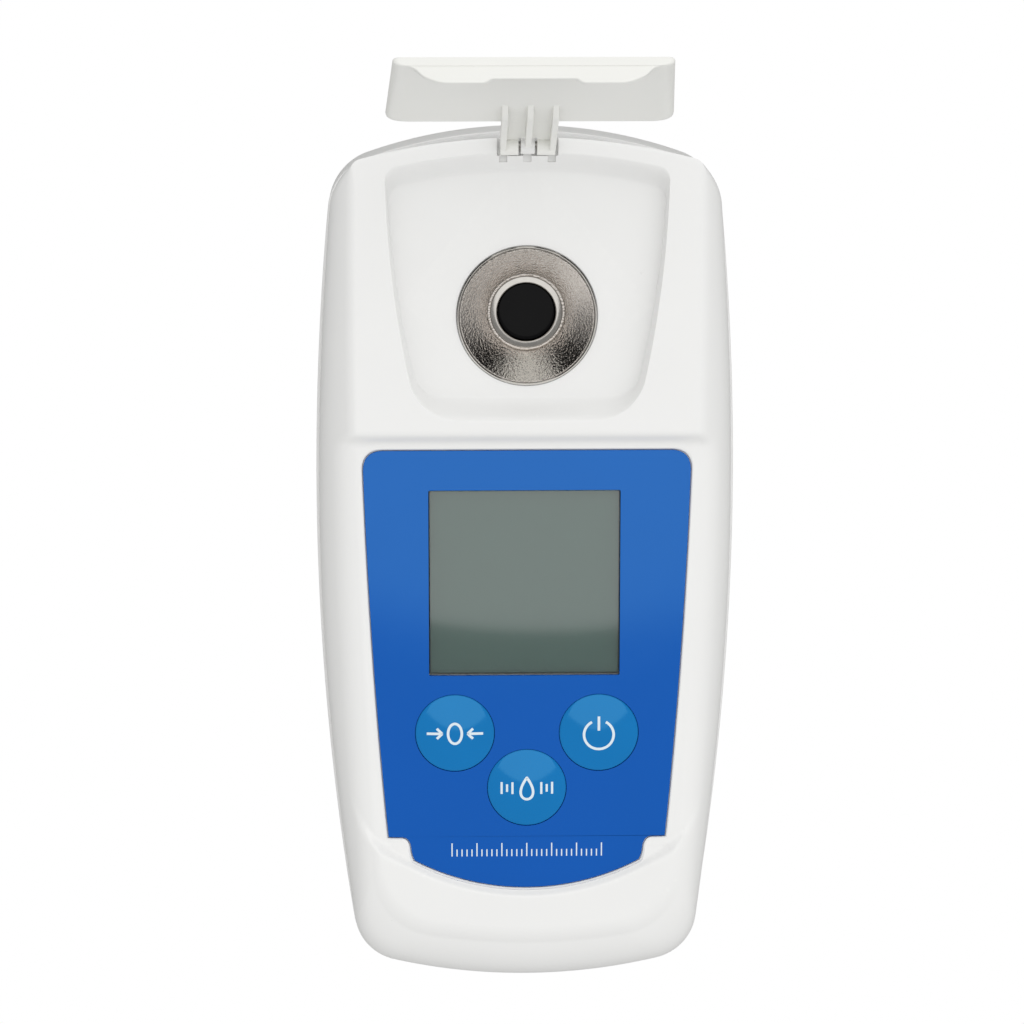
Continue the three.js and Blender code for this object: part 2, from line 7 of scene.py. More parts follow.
import json
import logging
import math
from collections.abc import Callable, Iterable, Sequence
from dataclasses import dataclass, field, fields, replace
from enum import Enum

import bmesh
import bpy
import numpy as np
from mathutils import Matrix, Vector


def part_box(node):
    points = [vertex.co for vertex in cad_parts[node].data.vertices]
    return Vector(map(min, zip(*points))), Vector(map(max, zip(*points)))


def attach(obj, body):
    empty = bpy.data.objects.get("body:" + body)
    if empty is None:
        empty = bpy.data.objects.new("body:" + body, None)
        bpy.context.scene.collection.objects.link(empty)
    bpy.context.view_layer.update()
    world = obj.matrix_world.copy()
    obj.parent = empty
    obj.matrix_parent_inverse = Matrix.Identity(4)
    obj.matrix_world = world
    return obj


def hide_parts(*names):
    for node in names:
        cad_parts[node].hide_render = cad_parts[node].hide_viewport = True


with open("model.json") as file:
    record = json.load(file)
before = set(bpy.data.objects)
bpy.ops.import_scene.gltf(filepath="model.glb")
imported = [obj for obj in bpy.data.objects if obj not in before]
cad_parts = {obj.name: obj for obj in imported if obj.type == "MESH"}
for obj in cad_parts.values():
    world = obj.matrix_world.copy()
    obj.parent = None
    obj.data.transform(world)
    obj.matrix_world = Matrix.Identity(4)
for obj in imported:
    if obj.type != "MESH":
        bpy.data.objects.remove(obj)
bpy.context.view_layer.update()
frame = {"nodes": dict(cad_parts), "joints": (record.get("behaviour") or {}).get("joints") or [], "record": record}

logging.basicConfig(level=logging.INFO, format="%(message)s")
log = logging.getLogger("refractometer")

MM = 0.001
Point2 = tuple[float, float]
Point3 = tuple[float, float, float]
Color = tuple[float, float, float]
Piece = bpy.types.Object
Material = bpy.types.Material
Tree = bpy.types.NodeTree
Socket = bpy.types.NodeSocket


class Body(Enum):
    """The moving bodies that pieces ride on."""

    CASE = "case"
    COVER = "cover"
    ZERO_KEY = "zero_key"
    POWER_KEY = "power_key"
    MEASURE_KEY = "measure_key"
    DOOR = "door"


class Cut(Enum):
    """Ways to combine two closed solids."""

    JOIN = "UNION"
    REMOVE = "DIFFERENCE"
    KEEP = "INTERSECT"


class Axis(Enum):
    """Ways to draw out a plan: the rows that turn its Z axis along X or Y."""

    X = ((0, 0, 1, 0), (1, 0, 0, 0), (0, 1, 0, 0), (0, 0, 0, 1))
    Y = ((1, 0, 0, 0), (0, 0, 1, 0), (0, 1, 0, 0), (0, 0, 0, 1))


# ---------------------------------------------------------------- mesh tools


FACE_INSET = 1.15  # width of the flat rim inside a rounded edge, as a share of its radius
FINE_MERGE = 0.0005  # how near corners of a finished piece are joined, in millimetres
BLOCK_EDGE = 0.55  # a block's upper and lower edges, as a share of its upright ones


def node_box(node: str) -> tuple[np.ndarray, np.ndarray]:
    """Corners of a CAD node.

    Args:
        node: The node's name.

    Returns:
        Its lowest and highest corner, in millimetres.
    """
    low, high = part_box(node)
    return np.array(low) / MM, np.array(high) / MM


def node_centre(node: str) -> np.ndarray:
    """Middle of a CAD node's box, in millimetres."""
    low, high = node_box(node)
    return (low + high) / 2


def ramp(t: np.ndarray | float) -> np.ndarray:
    """Smooth step from 0 to 1 as t goes from 0 to 1."""
    t = np.clip(t, 0.0, 1.0)
    return t * t * (3 - 2 * t)


def between(value: np.ndarray, start: float | np.ndarray, end: float | np.ndarray) -> np.ndarray:
    """Smooth step from 0 to 1 as value goes from start to end."""
    return ramp((value - start) / (end - start))


def soft_min(a: np.ndarray, b: np.ndarray, radius: np.ndarray) -> np.ndarray:
    """Lower of two heights, with a round blend where they cross.

    Args:
        a: First heights.
        b: Second heights.
        radius: How wide the blend is, for each point.

    Returns:
        The blended heights.
    """
    share = np.clip(0.5 + 0.5 * (b - a) / radius, 0.0, 1.0)
    return b * (1 - share) + a * share - radius * share * (1 - share)


def mesh_object(name: str, points: np.ndarray, faces: list[tuple[int, ...]]) -> Piece:
    """Makes a mesh object.

    Args:
        name: The object's name.
        points: Corner positions in millimetres, one row each.
        faces: Corner numbers of each face.

    Returns:
        The object, linked to the scene, in metres.
    """
    mesh = bpy.data.meshes.new(name)
    mesh.from_pydata((np.asarray(points, float) * MM).tolist(), [], faces)
    obj = bpy.data.objects.new(name, mesh)
    bpy.context.scene.collection.objects.link(obj)
    return obj


def tidy(obj: Piece, merge: float = 0.002) -> Piece:
    """Joins doubled corners of a mesh and turns its faces outwards.

    Args:
        obj: The object.
        merge: How near corners are joined, in millimetres.

    Returns:
        The same object.
    """
    work = bmesh.new()
    work.from_mesh(obj.data)
    bmesh.ops.remove_doubles(work, verts=work.verts, dist=merge * MM)
    bmesh.ops.triangulate(work, faces=[face for face in work.faces if len(face.verts) > 4])
    bmesh.ops.recalc_face_normals(work, faces=work.faces)
    work.to_mesh(obj.data)
    work.free()
    return obj


def skin(name: str, rings: Sequence[np.ndarray], looped: bool = False) -> Piece:
    """Closed skin through rings of equal point counts.

    Args:
        name: The object's name.
        rings: Rings of 3-D points.
        looped: Whether the last ring joins the first instead of both being capped.

    Returns:
        The skinned object.
    """
    count = len(rings[0])
    faces: list[tuple[int, ...]] = []
    pairs = [(i, (i + 1) % len(rings)) for i in range(len(rings) - (0 if looped else 1))]
    for low, high in pairs:
        for i in range(count):
            j = (i + 1) % count
            faces.append((low * count + i, low * count + j, high * count + j, high * count + i))
    if not looped:
        faces.append(tuple(reversed(range(count))))
        faces.append(tuple(range((len(rings) - 1) * count, len(rings) * count)))
    return tidy(mesh_object(name, np.concatenate(rings), faces))


def settle(obj: Piece) -> Piece:
    """Applies an object's modifiers to its mesh.

    Args:
        obj: The object.

    Returns:
        The same object.
    """
    graph = bpy.context.evaluated_depsgraph_get()
    made = bpy.data.meshes.new_from_object(obj.evaluated_get(graph))
    old = obj.data
    obj.modifiers.clear()
    obj.data = made
    bpy.data.meshes.remove(old)
    return obj


def combine(base: Piece, how: Cut, *others: Piece) -> Piece:
    """Joins, cuts or intersects a solid with others, which are used up.

    Args:
        base: The solid that is changed.
        how: The kind of combination.
        others: The other solids.

    Returns:
        The base object.
    """
    for other in others:
        bpy.context.view_layer.update()
        modifier = base.modifiers.new("combine", "BOOLEAN")
        modifier.operation = how.value
        modifier.solver = "MANIFOLD"
        modifier.object = other
        settle(base)
        bpy.data.objects.remove(other)
    return base


def shade(obj: Piece, degrees: float = 32.0) -> Piece:
    """Smooth shading that keeps sharp edges crisp.

    Args:
        obj: The object.
        degrees: The angle over which an edge is sharp.

    Returns:
        The same object.
    """
    obj.data.shade_smooth()
    obj.data.set_sharp_from_angle(angle=math.radians(degrees))
    weighted = obj.modifiers.new("weighted", "WEIGHTED_NORMAL")
    weighted.keep_sharp = True
    return settle(obj)


def level(outline: np.ndarray, z: float | np.ndarray) -> np.ndarray:
    """A 2-D outline as a ring of 3-D points at height z."""
    return np.column_stack([outline, np.broadcast_to(z, len(outline))])


def offset(outline: np.ndarray, distance: float) -> np.ndarray:
    """Moves a closed outline outwards.

    Args:
        outline: Points in counter-clockwise order.
        distance: How far, negative for inwards.

    Returns:
        The moved points.
    """
    along = np.roll(outline, -1, axis=0) - np.roll(outline, 1, axis=0)
    along /= np.maximum(np.linalg.norm(along, axis=1, keepdims=True), 1e-9)
    return outline + distance * np.column_stack([along[:, 1], -along[:, 0]])


def quarter_round(radius: float, steps: int) -> list[Point2]:
    """Inset and rise of each point of a rounded edge, from the face out to the side."""
    turns = np.linspace(0, math.pi / 2, steps)
    return [(radius * (1 - math.sin(turn)), radius * (1 - math.cos(turn))) for turn in turns]


def curve(start: Sequence[float], bend: Sequence[float], end: Sequence[float], count: int,
          endpoint: bool = True) -> np.ndarray:
    """Points of a quadratic curve.

    Args:
        start: Its first point.
        bend: The point that it bends toward.
        end: Its last point.
        count: How many points.
        endpoint: Whether the last point is among them.

    Returns:
        The points.
    """
    t = np.linspace(0, 1, count, endpoint=endpoint)[:, None]
    return (1 - t) ** 2 * np.array(start) + 2 * t * (1 - t) * np.array(bend) + t * t * np.array(end)


def round_corners(points: Sequence[Point2], radius: float | Sequence[float], steps: int = 5) -> np.ndarray:
    """Closed outline with each corner turned into a short curve.

    Args:
        points: Corners in order.
        radius: Length taken off each side of a corner, one value or one for each corner.
        steps: Points on each curve.

    Returns:
        The rounded outline.
    """
    corners = np.asarray(points, float)
    radii = np.broadcast_to(radius, len(corners))
    rounded: list[np.ndarray] = []
    for i, corner in enumerate(corners):
        before, after = corners[i - 1] - corner, corners[(i + 1) % len(corners)] - corner
        reach_before, reach_after = np.linalg.norm(before), np.linalg.norm(after)
        cut = min(radii[i], 0.49 * reach_before, 0.49 * reach_after)
        start, end = corner + before / reach_before * cut, corner + after / reach_after * cut
        rounded.extend(curve(start, corner, end, steps))
    return np.array(rounded)


def refine(outline: np.ndarray, parts: int, long_side: float = 2.0) -> np.ndarray:
    """Closed outline with each long side split.

    Args:
        outline: Its points.
        parts: Pieces that a long side is split into.
        long_side: Sides shorter than this stay whole.

    Returns:
        The points, with the added ones.
    """
    points = []
    for start, end in zip(outline, np.roll(outline, -1, axis=0)):
        count = parts if np.linalg.norm(end - start) > long_side else 1
        points.extend(start + (end - start) * i / count for i in range(count))
    return np.array(points)


def circle(radius: float, steps: int, centre: Sequence[float] = (0.0, 0.0)) -> np.ndarray:
    """Points of a circle, counter-clockwise."""
    turn = np.linspace(0, 2 * math.pi, steps, endpoint=False)
    return np.column_stack([centre[0] + radius * np.cos(turn), centre[1] + radius * np.sin(turn)])


def slab(name: str, outline: np.ndarray, z0: float, z1: float, edge: float = 0.0) -> Piece:
    """Plate with an optional round edge at both faces.

    Args:
        name: The object's name.
        outline: Plan of the plate, counter-clockwise.
        z0: Height of its lower face.
        z1: Height of its upper face.
        edge: Radius of the edges.

    Returns:
        The plate.
    """
    rings = [level(outline, z0), level(outline, z1)]
    if edge:
        rounding = quarter_round(edge, 7)
        low = [level(offset(outline, -inset), z0 + rise) for inset, rise in rounding]
        high = [level(offset(outline, -inset), z1 - rise) for inset, rise in reversed(rounding)]
        flat = offset(outline, -FACE_INSET * edge)
        rings = [level(flat, z0), *low, *high, level(flat, z1)]
    return skin(name, rings)


def bar(name: str, section: np.ndarray, start: float, end: float, axis: Axis, edge: float = 0.0) -> Piece:
    """Section drawn out along X or Y.

    Args:
        name: The object's name.
        section: Points [y, z] for a bar along X, or [x, z] for a bar along Y.
        start: Where it begins on its axis.
        end: Where it ends.
        axis: The axis that it lies along.
        edge: Radius of the end edges.

    Returns:
        The bar.
    """
    obj = slab(name, np.asarray(section, float), start, end, edge)
    obj.data.transform(Matrix(axis.value))
    return tidy(obj)


def block(name: str, x: Point2, y: Point2, z: Point2, edge: float = 0.0) -> Piece:
    """Box between the given limits.

    Args:
        name: The object's name.
        x: Its limits across.
        y: Its limits along.
        z: Its limits upwards.
        edge: How round its upright edges are.

    Returns:
        The box.
    """
    corners = [(x[0], y[0]), (x[1], y[0]), (x[1], y[1]), (x[0], y[1])]
    outline = round_corners(corners, edge, 4) if edge else np.array(corners, float)
    return slab(name, outline, z[0], z[1], BLOCK_EDGE * edge)


def turned(name: str, profile: Iterable[Point2], centre: Sequence[float], steps: int = 128) -> Piece:
    """Closed profile turned about an upright axis.

    Args:
        name: The object's name.
        profile: Points [radius, height]; a profile that starts and ends at radius 0 is a solid of revolution.
        centre: The axis, [x, y].
        steps: Points round the axis.

    Returns:
        The turned solid.
    """
    points = np.asarray(list(profile), float)
    rings = [level(circle(max(r, 1e-4), steps, centre), z) for r, z in points]
    return skin(name, rings, looped=points[0][0] > 0.01)


def window_block(gap: float, low: float, high: float, edge: float) -> Piece:
    """Block over the display window's plan.

    Args:
        gap: How far it reaches past the window.
        low: Its lower height.
        high: Its upper height.
        edge: How round its upright edges are.

    Returns:
        The block.
    """
    start, end = node_box("display_window")
    return block("pane", (start[0] - gap, end[0] + gap), (start[1] - gap, end[1] + gap), (low, high), edge)


def hinge_axis() -> np.ndarray:
    """A point on the cover hinge's axis, in millimetres."""
    return np.array(cover_joint()["pos_m"]) / MM


def cover_joint() -> dict:
    """The cover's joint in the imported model."""
    return next(joint for joint in frame["joints"] if joint["name"] == "cover_hinge")


# ---------------------------------------------------------------- outlines of the case


SMALLEST_CORNER = 0.3

@dataclass(frozen=True)
class CaseOutline:
    """Outline of two long side arcs and two end arcs that meet in round corners."""

    side: float
    side_y: float
    side_r: float
    top: float
    top_r: float
    bottom: float
    bottom_r: float
    corner_top: float
    corner_bottom: float

    def toward(self, other: "CaseOutline", share: float) -> "CaseOutline":
        """Outline between this one (share 0) and another (share 1)."""
        values = ((getattr(self, part.name), getattr(other, part.name)) for part in fields(self))
        return CaseOutline(*(mine * (1 - share) + theirs * share for mine, theirs in values))

    def _corner(self, side_r: float, end_y: float, end_r: float, radius: float, sign: int) -> np.ndarray:
        """Centre of the corner arc that touches the right side arc and an end arc.

        Args:
            side_r: Radius of the side arc.
            end_y: Place of the end arc's centre.
            end_r: Radius of the end arc.
            radius: Radius of the corner arc.
            sign: 1 for the top end, -1 for the bottom end.

        Returns:
            The centre.
        """
        side_x = self.side - self.side_r
        a, b = side_r - radius, end_r - radius
        reach = np.array([-side_x, end_y - self.side_y])
        d = float(np.hypot(*reach))
        along = (a * a - b * b + d * d) / (2 * d)
        across = math.sqrt(a * a - along * along) * sign
        unit = reach / d
        return np.array([side_x, self.side_y]) + along * unit + across * np.array([-unit[1], unit[0]])

    def points(self, inset: float = 0.0, steps: Sequence[int] = (6, 6, 6, 6)) -> np.ndarray:
        """Points of the outline.

        Args:
            inset: How far the outline is drawn in.
            steps: Points on each bottom end, bottom corner, side and top corner arc.

        Returns:
            The points, counter-clockwise from the lower left, the same on both sides of the middle.
        """
        end_steps, low_steps, side_steps, high_steps = steps
        side_x, side_r = self.side - self.side_r, self.side_r - inset
        top_y, top_r = self.top - self.top_r, self.top_r - inset
        bottom_y, bottom_r = self.bottom + self.bottom_r, self.bottom_r - inset
        high_r = max(self.corner_top - inset, SMALLEST_CORNER)
        low_r = max(self.corner_bottom - inset, SMALLEST_CORNER)
        high = self._corner(side_r, top_y, top_r, high_r, 1)
        low = self._corner(side_r, bottom_y, bottom_r, low_r, -1)
        top_turn = math.atan2(high[1] - top_y, high[0])
        side_high = math.atan2(high[1] - self.side_y, high[0] - side_x)
        side_low = math.atan2(low[1] - self.side_y, low[0] - side_x)
        bottom_turn = math.atan2(low[1] - bottom_y, low[0])

        def arc(cx: float, cy: float, r: float, start: float, stop: float, count: int) -> np.ndarray:
            """Arc without its last point."""
            turn = np.linspace(start, stop, count, endpoint=False)
            return np.column_stack([cx + r * np.cos(turn), cy + r * np.sin(turn)])

        right = np.concatenate([
            arc(0, bottom_y, bottom_r, -math.pi / 2, bottom_turn, end_steps),
            arc(low[0], low[1], low_r, bottom_turn, side_low, low_steps),
            arc(side_x, self.side_y, side_r, side_low, side_high, side_steps),
            arc(high[0], high[1], high_r, side_high, top_turn, high_steps),
            arc(0, top_y, top_r, top_turn, math.pi / 2, end_steps),
            [[0.0, top_y + top_r]],
        ])
        left = right[-2:0:-1] * [-1, 1]
        return np.concatenate([right, left])


PARTING = CaseOutline(side=28.65, side_y=10, side_r=405, top=60.1, top_r=66, bottom=-59.5, bottom_r=80,
                      corner_top=7.5, corner_bottom=7)
FACE = CaseOutline(side=23.85, side_y=35, side_r=1200, top=60.9, top_r=88, bottom=-52, bottom_r=80,
                   corner_top=1.6, corner_bottom=9)
BACK = CaseOutline(side=29.05, side_y=10, side_r=405, top=60.5, top_r=66, bottom=-60, bottom_r=80,
                   corner_top=8, corner_bottom=7.4)
RECESS_RIM = CaseOutline(side=19.1, side_y=58, side_r=145, top=58.9, top_r=82, bottom=22.4, bottom_r=400,
                         corner_top=2, corner_bottom=7)
RECESS_FLOOR = CaseOutline(side=18.8, side_y=58, side_r=128, top=55.9, top_r=74, bottom=25.3, bottom_r=400,
                           corner_top=2, corner_bottom=3.8)
COARSE = (5, 5, 8, 4)


@dataclass(frozen=True)
class Levels:
    """Heights above the back face."""

    parting_low: float = 11.24
    parting_high: float = 11.42
    head: float = 24.0
    chin: float = 23.5
    panel: float = 22.6
    pocket: float = 22.05
    recess: float = 21.2
    panel_ceiling: float = 20.6
    head_ceiling: float = 19.4
    above: float = 30.0


LEVELS = Levels()
WALL = 2.0


# ---------------------------------------------------------------- shader tools


def srgb(red: int, green: int, blue: int) -> Color:
    """Linear colour of an 8-bit screen colour.

    Args:
        red: Red, from 0 to 255.
        green: Green.
        blue: Blue.

    Returns:
        The linear colour.
    """
    def linear(value: int) -> float:
        """Linear share of one channel."""
        share = value / 255
        return share / 12.92 if share <= 0.04045 else ((share + 0.055) / 1.055) ** 2.4

    return linear(red), linear(green), linear(blue)


class Nodes:
    """Short calls that build a node tree."""

    def __init__(self, tree: Tree) -> None:
        """Wraps a tree."""
        self.tree = tree

    def add(self, kind: str, inputs: dict | None = None, **settings: object) -> bpy.types.Node:
        """Adds a node.

        Args:
            kind: The node type's name.
            inputs: Input name or number to a value or to the output socket that feeds it.
            settings: Properties of the node.

        Returns:
            The node.
        """
        node = self.tree.nodes.new(kind)
        for name, value in settings.items():
            setattr(node, name, value)
        for key, value in (inputs or {}).items():
            if isinstance(value, Socket):
                self.tree.links.new(value, node.inputs[key])
            else:
                node.inputs[key].default_value = value
        return node

    def math(self, operation: str, a: object, b: object = 0.0, clamp: bool = False) -> Socket:
        """Output of a Math node."""
        return self.add("ShaderNodeMath", {0: a, 1: b}, operation=operation, use_clamp=clamp).outputs[0]

    def mix(self, share: object, a: object, b: object) -> Socket:
        """Mixes two colours.

        Args:
            share: How much of b.
            a: A colour or the socket that feeds it.
            b: The other.

        Returns:
            The mix.
        """
        node = self.add("ShaderNodeMix", {"Factor": share}, data_type="RGBA")
        colors = [s for s in node.inputs if s.type == "RGBA"]
        for socket, value in zip(colors, (a, b)):
            if isinstance(value, Socket):
                self.tree.links.new(value, socket)
            else:
                socket.default_value = (*value, 1.0)
        return next(s for s in node.outputs if s.type == "RGBA")

    def blend(self, share: object, a: bpy.types.Node, b: bpy.types.Node) -> bpy.types.Node:
        """Node that mixes shader a with shader b."""
        return self.add("ShaderNodeMixShader", {0: share, 1: a.outputs[0], 2: b.outputs[0]})

    def spread(self, value: object, low: float, high: float, to_low: float = 0.0,
               to_high: float = 1.0) -> Socket:
        """Output of a Map Range node that clamps."""
        inputs = {"Value": value, "From Min": low, "From Max": high, "To Min": to_low, "To Max": to_high}
        return self.add("ShaderNodeMapRange", inputs, clamp=True).outputs["Result"]


def new_group(name: str, floats: dict[str, float], output: str) -> tuple[Tree, Nodes, bpy.types.Node]:
    """Starts a shader node group of number inputs and one number output.

    Args:
        name: The group's name.
        floats: Input names and their default values.
        output: The output's name.

    Returns:
        The group, its node builder and its input node.
    """
    group = bpy.data.node_groups.new(name, "ShaderNodeTree")
    for label, value in floats.items():
        socket = group.interface.new_socket(name=label, in_out="INPUT", socket_type="NodeSocketFloat")
        socket.default_value = value
    group.interface.new_socket(name=output, in_out="OUTPUT", socket_type="NodeSocketFloat")
    nodes = Nodes(group)
    return group, nodes, nodes.add("NodeGroupInput")


def mottle_group() -> Tree:
    """Slow cloudy variation, as in moulded plastic. Scale is in clouds per metre; Mask goes from 0 to 1.

    Returns:
        The group.
    """
    group, nodes, given = new_group("cloudy_mottle", {"Scale": 120.0, "Contrast": 1.0}, "Mask")
    place = nodes.add("ShaderNodeTexCoord").outputs["Object"]
    noise = nodes.add("ShaderNodeTexNoise", {"Vector": place, "Scale": given.outputs["Scale"], "Detail": 3.0})
    centred = nodes.math("SUBTRACT", noise.outputs["Fac"], 0.5)
    scaled = nodes.math("MULTIPLY", centred, given.outputs["Contrast"])
    nodes.add("NodeGroupOutput", {"Mask": nodes.math("ADD", scaled, 0.5, clamp=True)})
    return group


def grain_group() -> Tree:
    """Fine grain for bump. Scale is in grains per metre; Height goes from 0 up.

    Returns:
        The group.
    """
    group, nodes, given = new_group("fine_grain", {"Scale": 4000.0, "Coarse": 0.3}, "Height")
    place = nodes.add("ShaderNodeTexCoord").outputs["Object"]
    fine = nodes.add("ShaderNodeTexNoise", {"Vector": place, "Scale": given.outputs["Scale"], "Detail": 2.0})
    slow_scale = nodes.math("MULTIPLY", given.outputs["Scale"], 0.2)
    slow = nodes.add("ShaderNodeTexNoise", {"Vector": place, "Scale": slow_scale, "Detail": 1.0})
    slow_part = nodes.math("MULTIPLY", slow.outputs["Fac"], given.outputs["Coarse"])
    nodes.add("NodeGroupOutput", {"Height": nodes.math("ADD", fine.outputs["Fac"], slow_part)})
    return group


def edge_group() -> Tree:
    """Mask of worn convex edges, broken up by noise.

    Returns:
        The group.
    """
    group, nodes, given = new_group("edge_wear", {"Start": 0.53, "End": 0.6, "Break Up": 900.0}, "Mask")
    place = nodes.add("ShaderNodeTexCoord").outputs["Object"]
    point = nodes.add("ShaderNodeNewGeometry").outputs["Pointiness"]
    ease = nodes.add("ShaderNodeMapRange", {"Value": point, "From Min": given.outputs["Start"],
                                            "From Max": given.outputs["End"]}, clamp=True)
    inputs = {"Vector": place, "Scale": given.outputs["Break Up"], "Detail": 3.0}
    noise = nodes.add("ShaderNodeTexNoise", inputs)
    broken = nodes.spread(noise.outputs["Fac"], 0.35, 0.65)
    nodes.add("NodeGroupOutput", {"Mask": nodes.math("MULTIPLY", ease.outputs["Result"], broken)})
    return group


def turning_group() -> Tree:
    """Fine circular tool marks round an upright axis at Centre X, Centre Y in metres.

    Returns:
        The group.
    """
    defaults = {"Centre X": 0.0, "Centre Y": 0.0, "Pitch": 0.00012}
    group, nodes, given = new_group("turning_marks", defaults, "Height")
    place = nodes.add("ShaderNodeSeparateXYZ", {0: nodes.add("ShaderNodeTexCoord").outputs["Object"]})
    dx = nodes.math("SUBTRACT", place.outputs["X"], given.outputs["Centre X"])
    dy = nodes.math("SUBTRACT", place.outputs["Y"], given.outputs["Centre Y"])
    squares = nodes.math("ADD", nodes.math("MULTIPLY", dx, dx), nodes.math("MULTIPLY", dy, dy))
    radius = nodes.math("SQRT", squares)
    turns = nodes.math("DIVIDE", radius, given.outputs["Pitch"])
    noise = nodes.add("ShaderNodeTexNoise", {"W": turns, "Scale": 1.0, "Detail": 2.0}, noise_dimensions="1D")
    nodes.add("NodeGroupOutput", {"Height": noise.outputs["Fac"]})
    return group


class Effects:
    """Shared node groups, each built once."""

    def __init__(self) -> None:
        """Builds the groups."""
        self.mottle = mottle_group()
        self.grain = grain_group()
        self.edges = edge_group()
        self.turning = turning_group()

    @staticmethod
    def place(nodes: Nodes, group: Tree, **inputs: float) -> Socket:
        """Places a group in a material.

        Args:
            nodes: The material's node builder.
            group: The group.
            inputs: Input values, with underscores for spaces.

        Returns:
            The group's output.
        """
        node = nodes.add("ShaderNodeGroup", node_tree=group)
        for name, value in inputs.items():
            node.inputs[name.replace("_", " ")].default_value = value
        return node.outputs[0]


EFFECTS = Effects()


@dataclass(frozen=True)
class Plastic:
    """Moulded, printed or rubbery surface with cloudy colour, grain and worn edges."""

    name: str
    color: Color
    roughness: float
    roughness_spread: float = 0.05
    shift: float = 0.04
    cloud_scale: float = 110.0
    grain_scale: float = 5000.0
    grain: float = 0.03
    grain_depth: float = 0.00002
    wear: float = 0.0
    wear_color: Color = (1.0, 1.0, 1.0)
    coat: float = 0.0
    coat_roughness: float = 0.05
    metallic: float = 0.0
    ior: float = 1.5
    gleam: Color = (1.0, 1.0, 1.0)

    def material(self) -> Material:
        """Builds the material.

        Returns:
            The material.
        """
        made = bpy.data.materials.new(self.name)
        made.use_nodes = True
        nodes = Nodes(made.node_tree)
        shader = made.node_tree.nodes["Principled BSDF"]
        cloud = EFFECTS.place(nodes, EFFECTS.mottle, Scale=self.cloud_scale, Contrast=1.6)
        darker = tuple(c * (1 - self.shift) for c in self.color)
        color = nodes.mix(cloud, darker, self.color)
        if self.wear:
            mask = EFFECTS.place(nodes, EFFECTS.edges, Start=0.53, End=0.62, Break_Up=900.0)
            color = nodes.mix(nodes.math("MULTIPLY", mask, self.wear), color, self.wear_color)
        made.node_tree.links.new(color, shader.inputs["Base Color"])
        fine_cloud = EFFECTS.place(nodes, EFFECTS.mottle, Scale=self.cloud_scale * 5, Contrast=1.3)
        half = self.roughness_spread / 2
        rough = nodes.spread(fine_cloud, 0.0, 1.0, self.roughness - half, self.roughness + half)
        made.node_tree.links.new(rough, shader.inputs["Roughness"])
        height = EFFECTS.place(nodes, EFFECTS.grain, Scale=self.grain_scale, Coarse=0.4)
        bump = nodes.add("ShaderNodeBump", {"Height": height, "Strength": self.grain,
                                            "Distance": self.grain_depth})
        made.node_tree.links.new(bump.outputs["Normal"], shader.inputs["Normal"])
        shader.inputs["Coat Weight"].default_value = self.coat
        shader.inputs["Coat Roughness"].default_value = self.coat_roughness
        shader.inputs["Metallic"].default_value = self.metallic
        shader.inputs["IOR"].default_value = self.ior
        shader.inputs["Specular Tint"].default_value = (*self.gleam, 1.0)
        return made


@dataclass(frozen=True)
class TurnedMetal:
    """Metal turned about an upright axis: tool marks, fine pits and slightly uneven tone."""

    name: str
    color: Color
    roughness: float
    centre: Point2
    pitch: float = 0.12
    marks: float = 0.2
    pits: float = 0.0
    pit_scale: float = 6500.0
    pit_depth: float = 0.00003

    def material(self) -> Material:
        """Builds the material.

        Returns:
            The material.
        """
        made = bpy.data.materials.new(self.name)
        made.use_nodes = True
        nodes = Nodes(made.node_tree)
        shader = made.node_tree.nodes["Principled BSDF"]
        cloud = EFFECTS.place(nodes, EFFECTS.mottle, Scale=700.0, Contrast=1.8)
        color = nodes.mix(cloud, tuple(c * 0.9 for c in self.color), self.color)
        made.node_tree.links.new(color, shader.inputs["Base Color"])
        rough = nodes.spread(cloud, 0.0, 1.0, self.roughness * 0.8, self.roughness * 1.25)
        made.node_tree.links.new(rough, shader.inputs["Roughness"])
        x, y = (c * MM for c in self.centre)
        rings = EFFECTS.place(nodes, EFFECTS.turning, Centre_X=x, Centre_Y=y, Pitch=self.pitch * MM)
        bump = nodes.add("ShaderNodeBump", {"Height": rings, "Strength": self.marks, "Distance": 0.00001})
        if self.pits:
            grain = EFFECTS.place(nodes, EFFECTS.grain, Scale=self.pit_scale, Coarse=0.08)
            bump = nodes.add("ShaderNodeBump", {"Height": grain, "Strength": self.pits,
                                                "Distance": self.pit_depth, "Normal": bump.outputs["Normal"]})
        made.node_tree.links.new(bump.outputs["Normal"], shader.inputs["Normal"])
        shader.inputs["Metallic"].default_value = 1.0
        return made


@dataclass(frozen=True)
class ClearSheet:
    """Thin clear plastic or glass: a faint mirror over what lies behind it."""

    name: str
    tint: Color
    ior: float = 1.5
    roughness: float = 0.03

    def material(self) -> Material:
        """Builds the material.

        Returns:
            The material.
        """
        made = bpy.data.materials.new(self.name)
        made.use_nodes = True
        tree = made.node_tree
        tree.nodes.clear()
        nodes = Nodes(tree)
        behind = nodes.add("ShaderNodeBsdfTransparent", {"Color": (*self.tint, 1.0)})
        mirror = nodes.add("ShaderNodeBsdfGlossy", {"Roughness": self.roughness})
        edge = nodes.add("ShaderNodeFresnel", {"IOR": self.ior})
        inside = nodes.add("ShaderNodeNewGeometry").outputs["Backfacing"]
        share = nodes.math("MULTIPLY", edge.outputs[0], nodes.math("SUBTRACT", 1.0, inside))
        both = nodes.blend(share, behind, mirror)
        nodes.add("ShaderNodeOutputMaterial", {"Surface": both.outputs[0]})
        return made


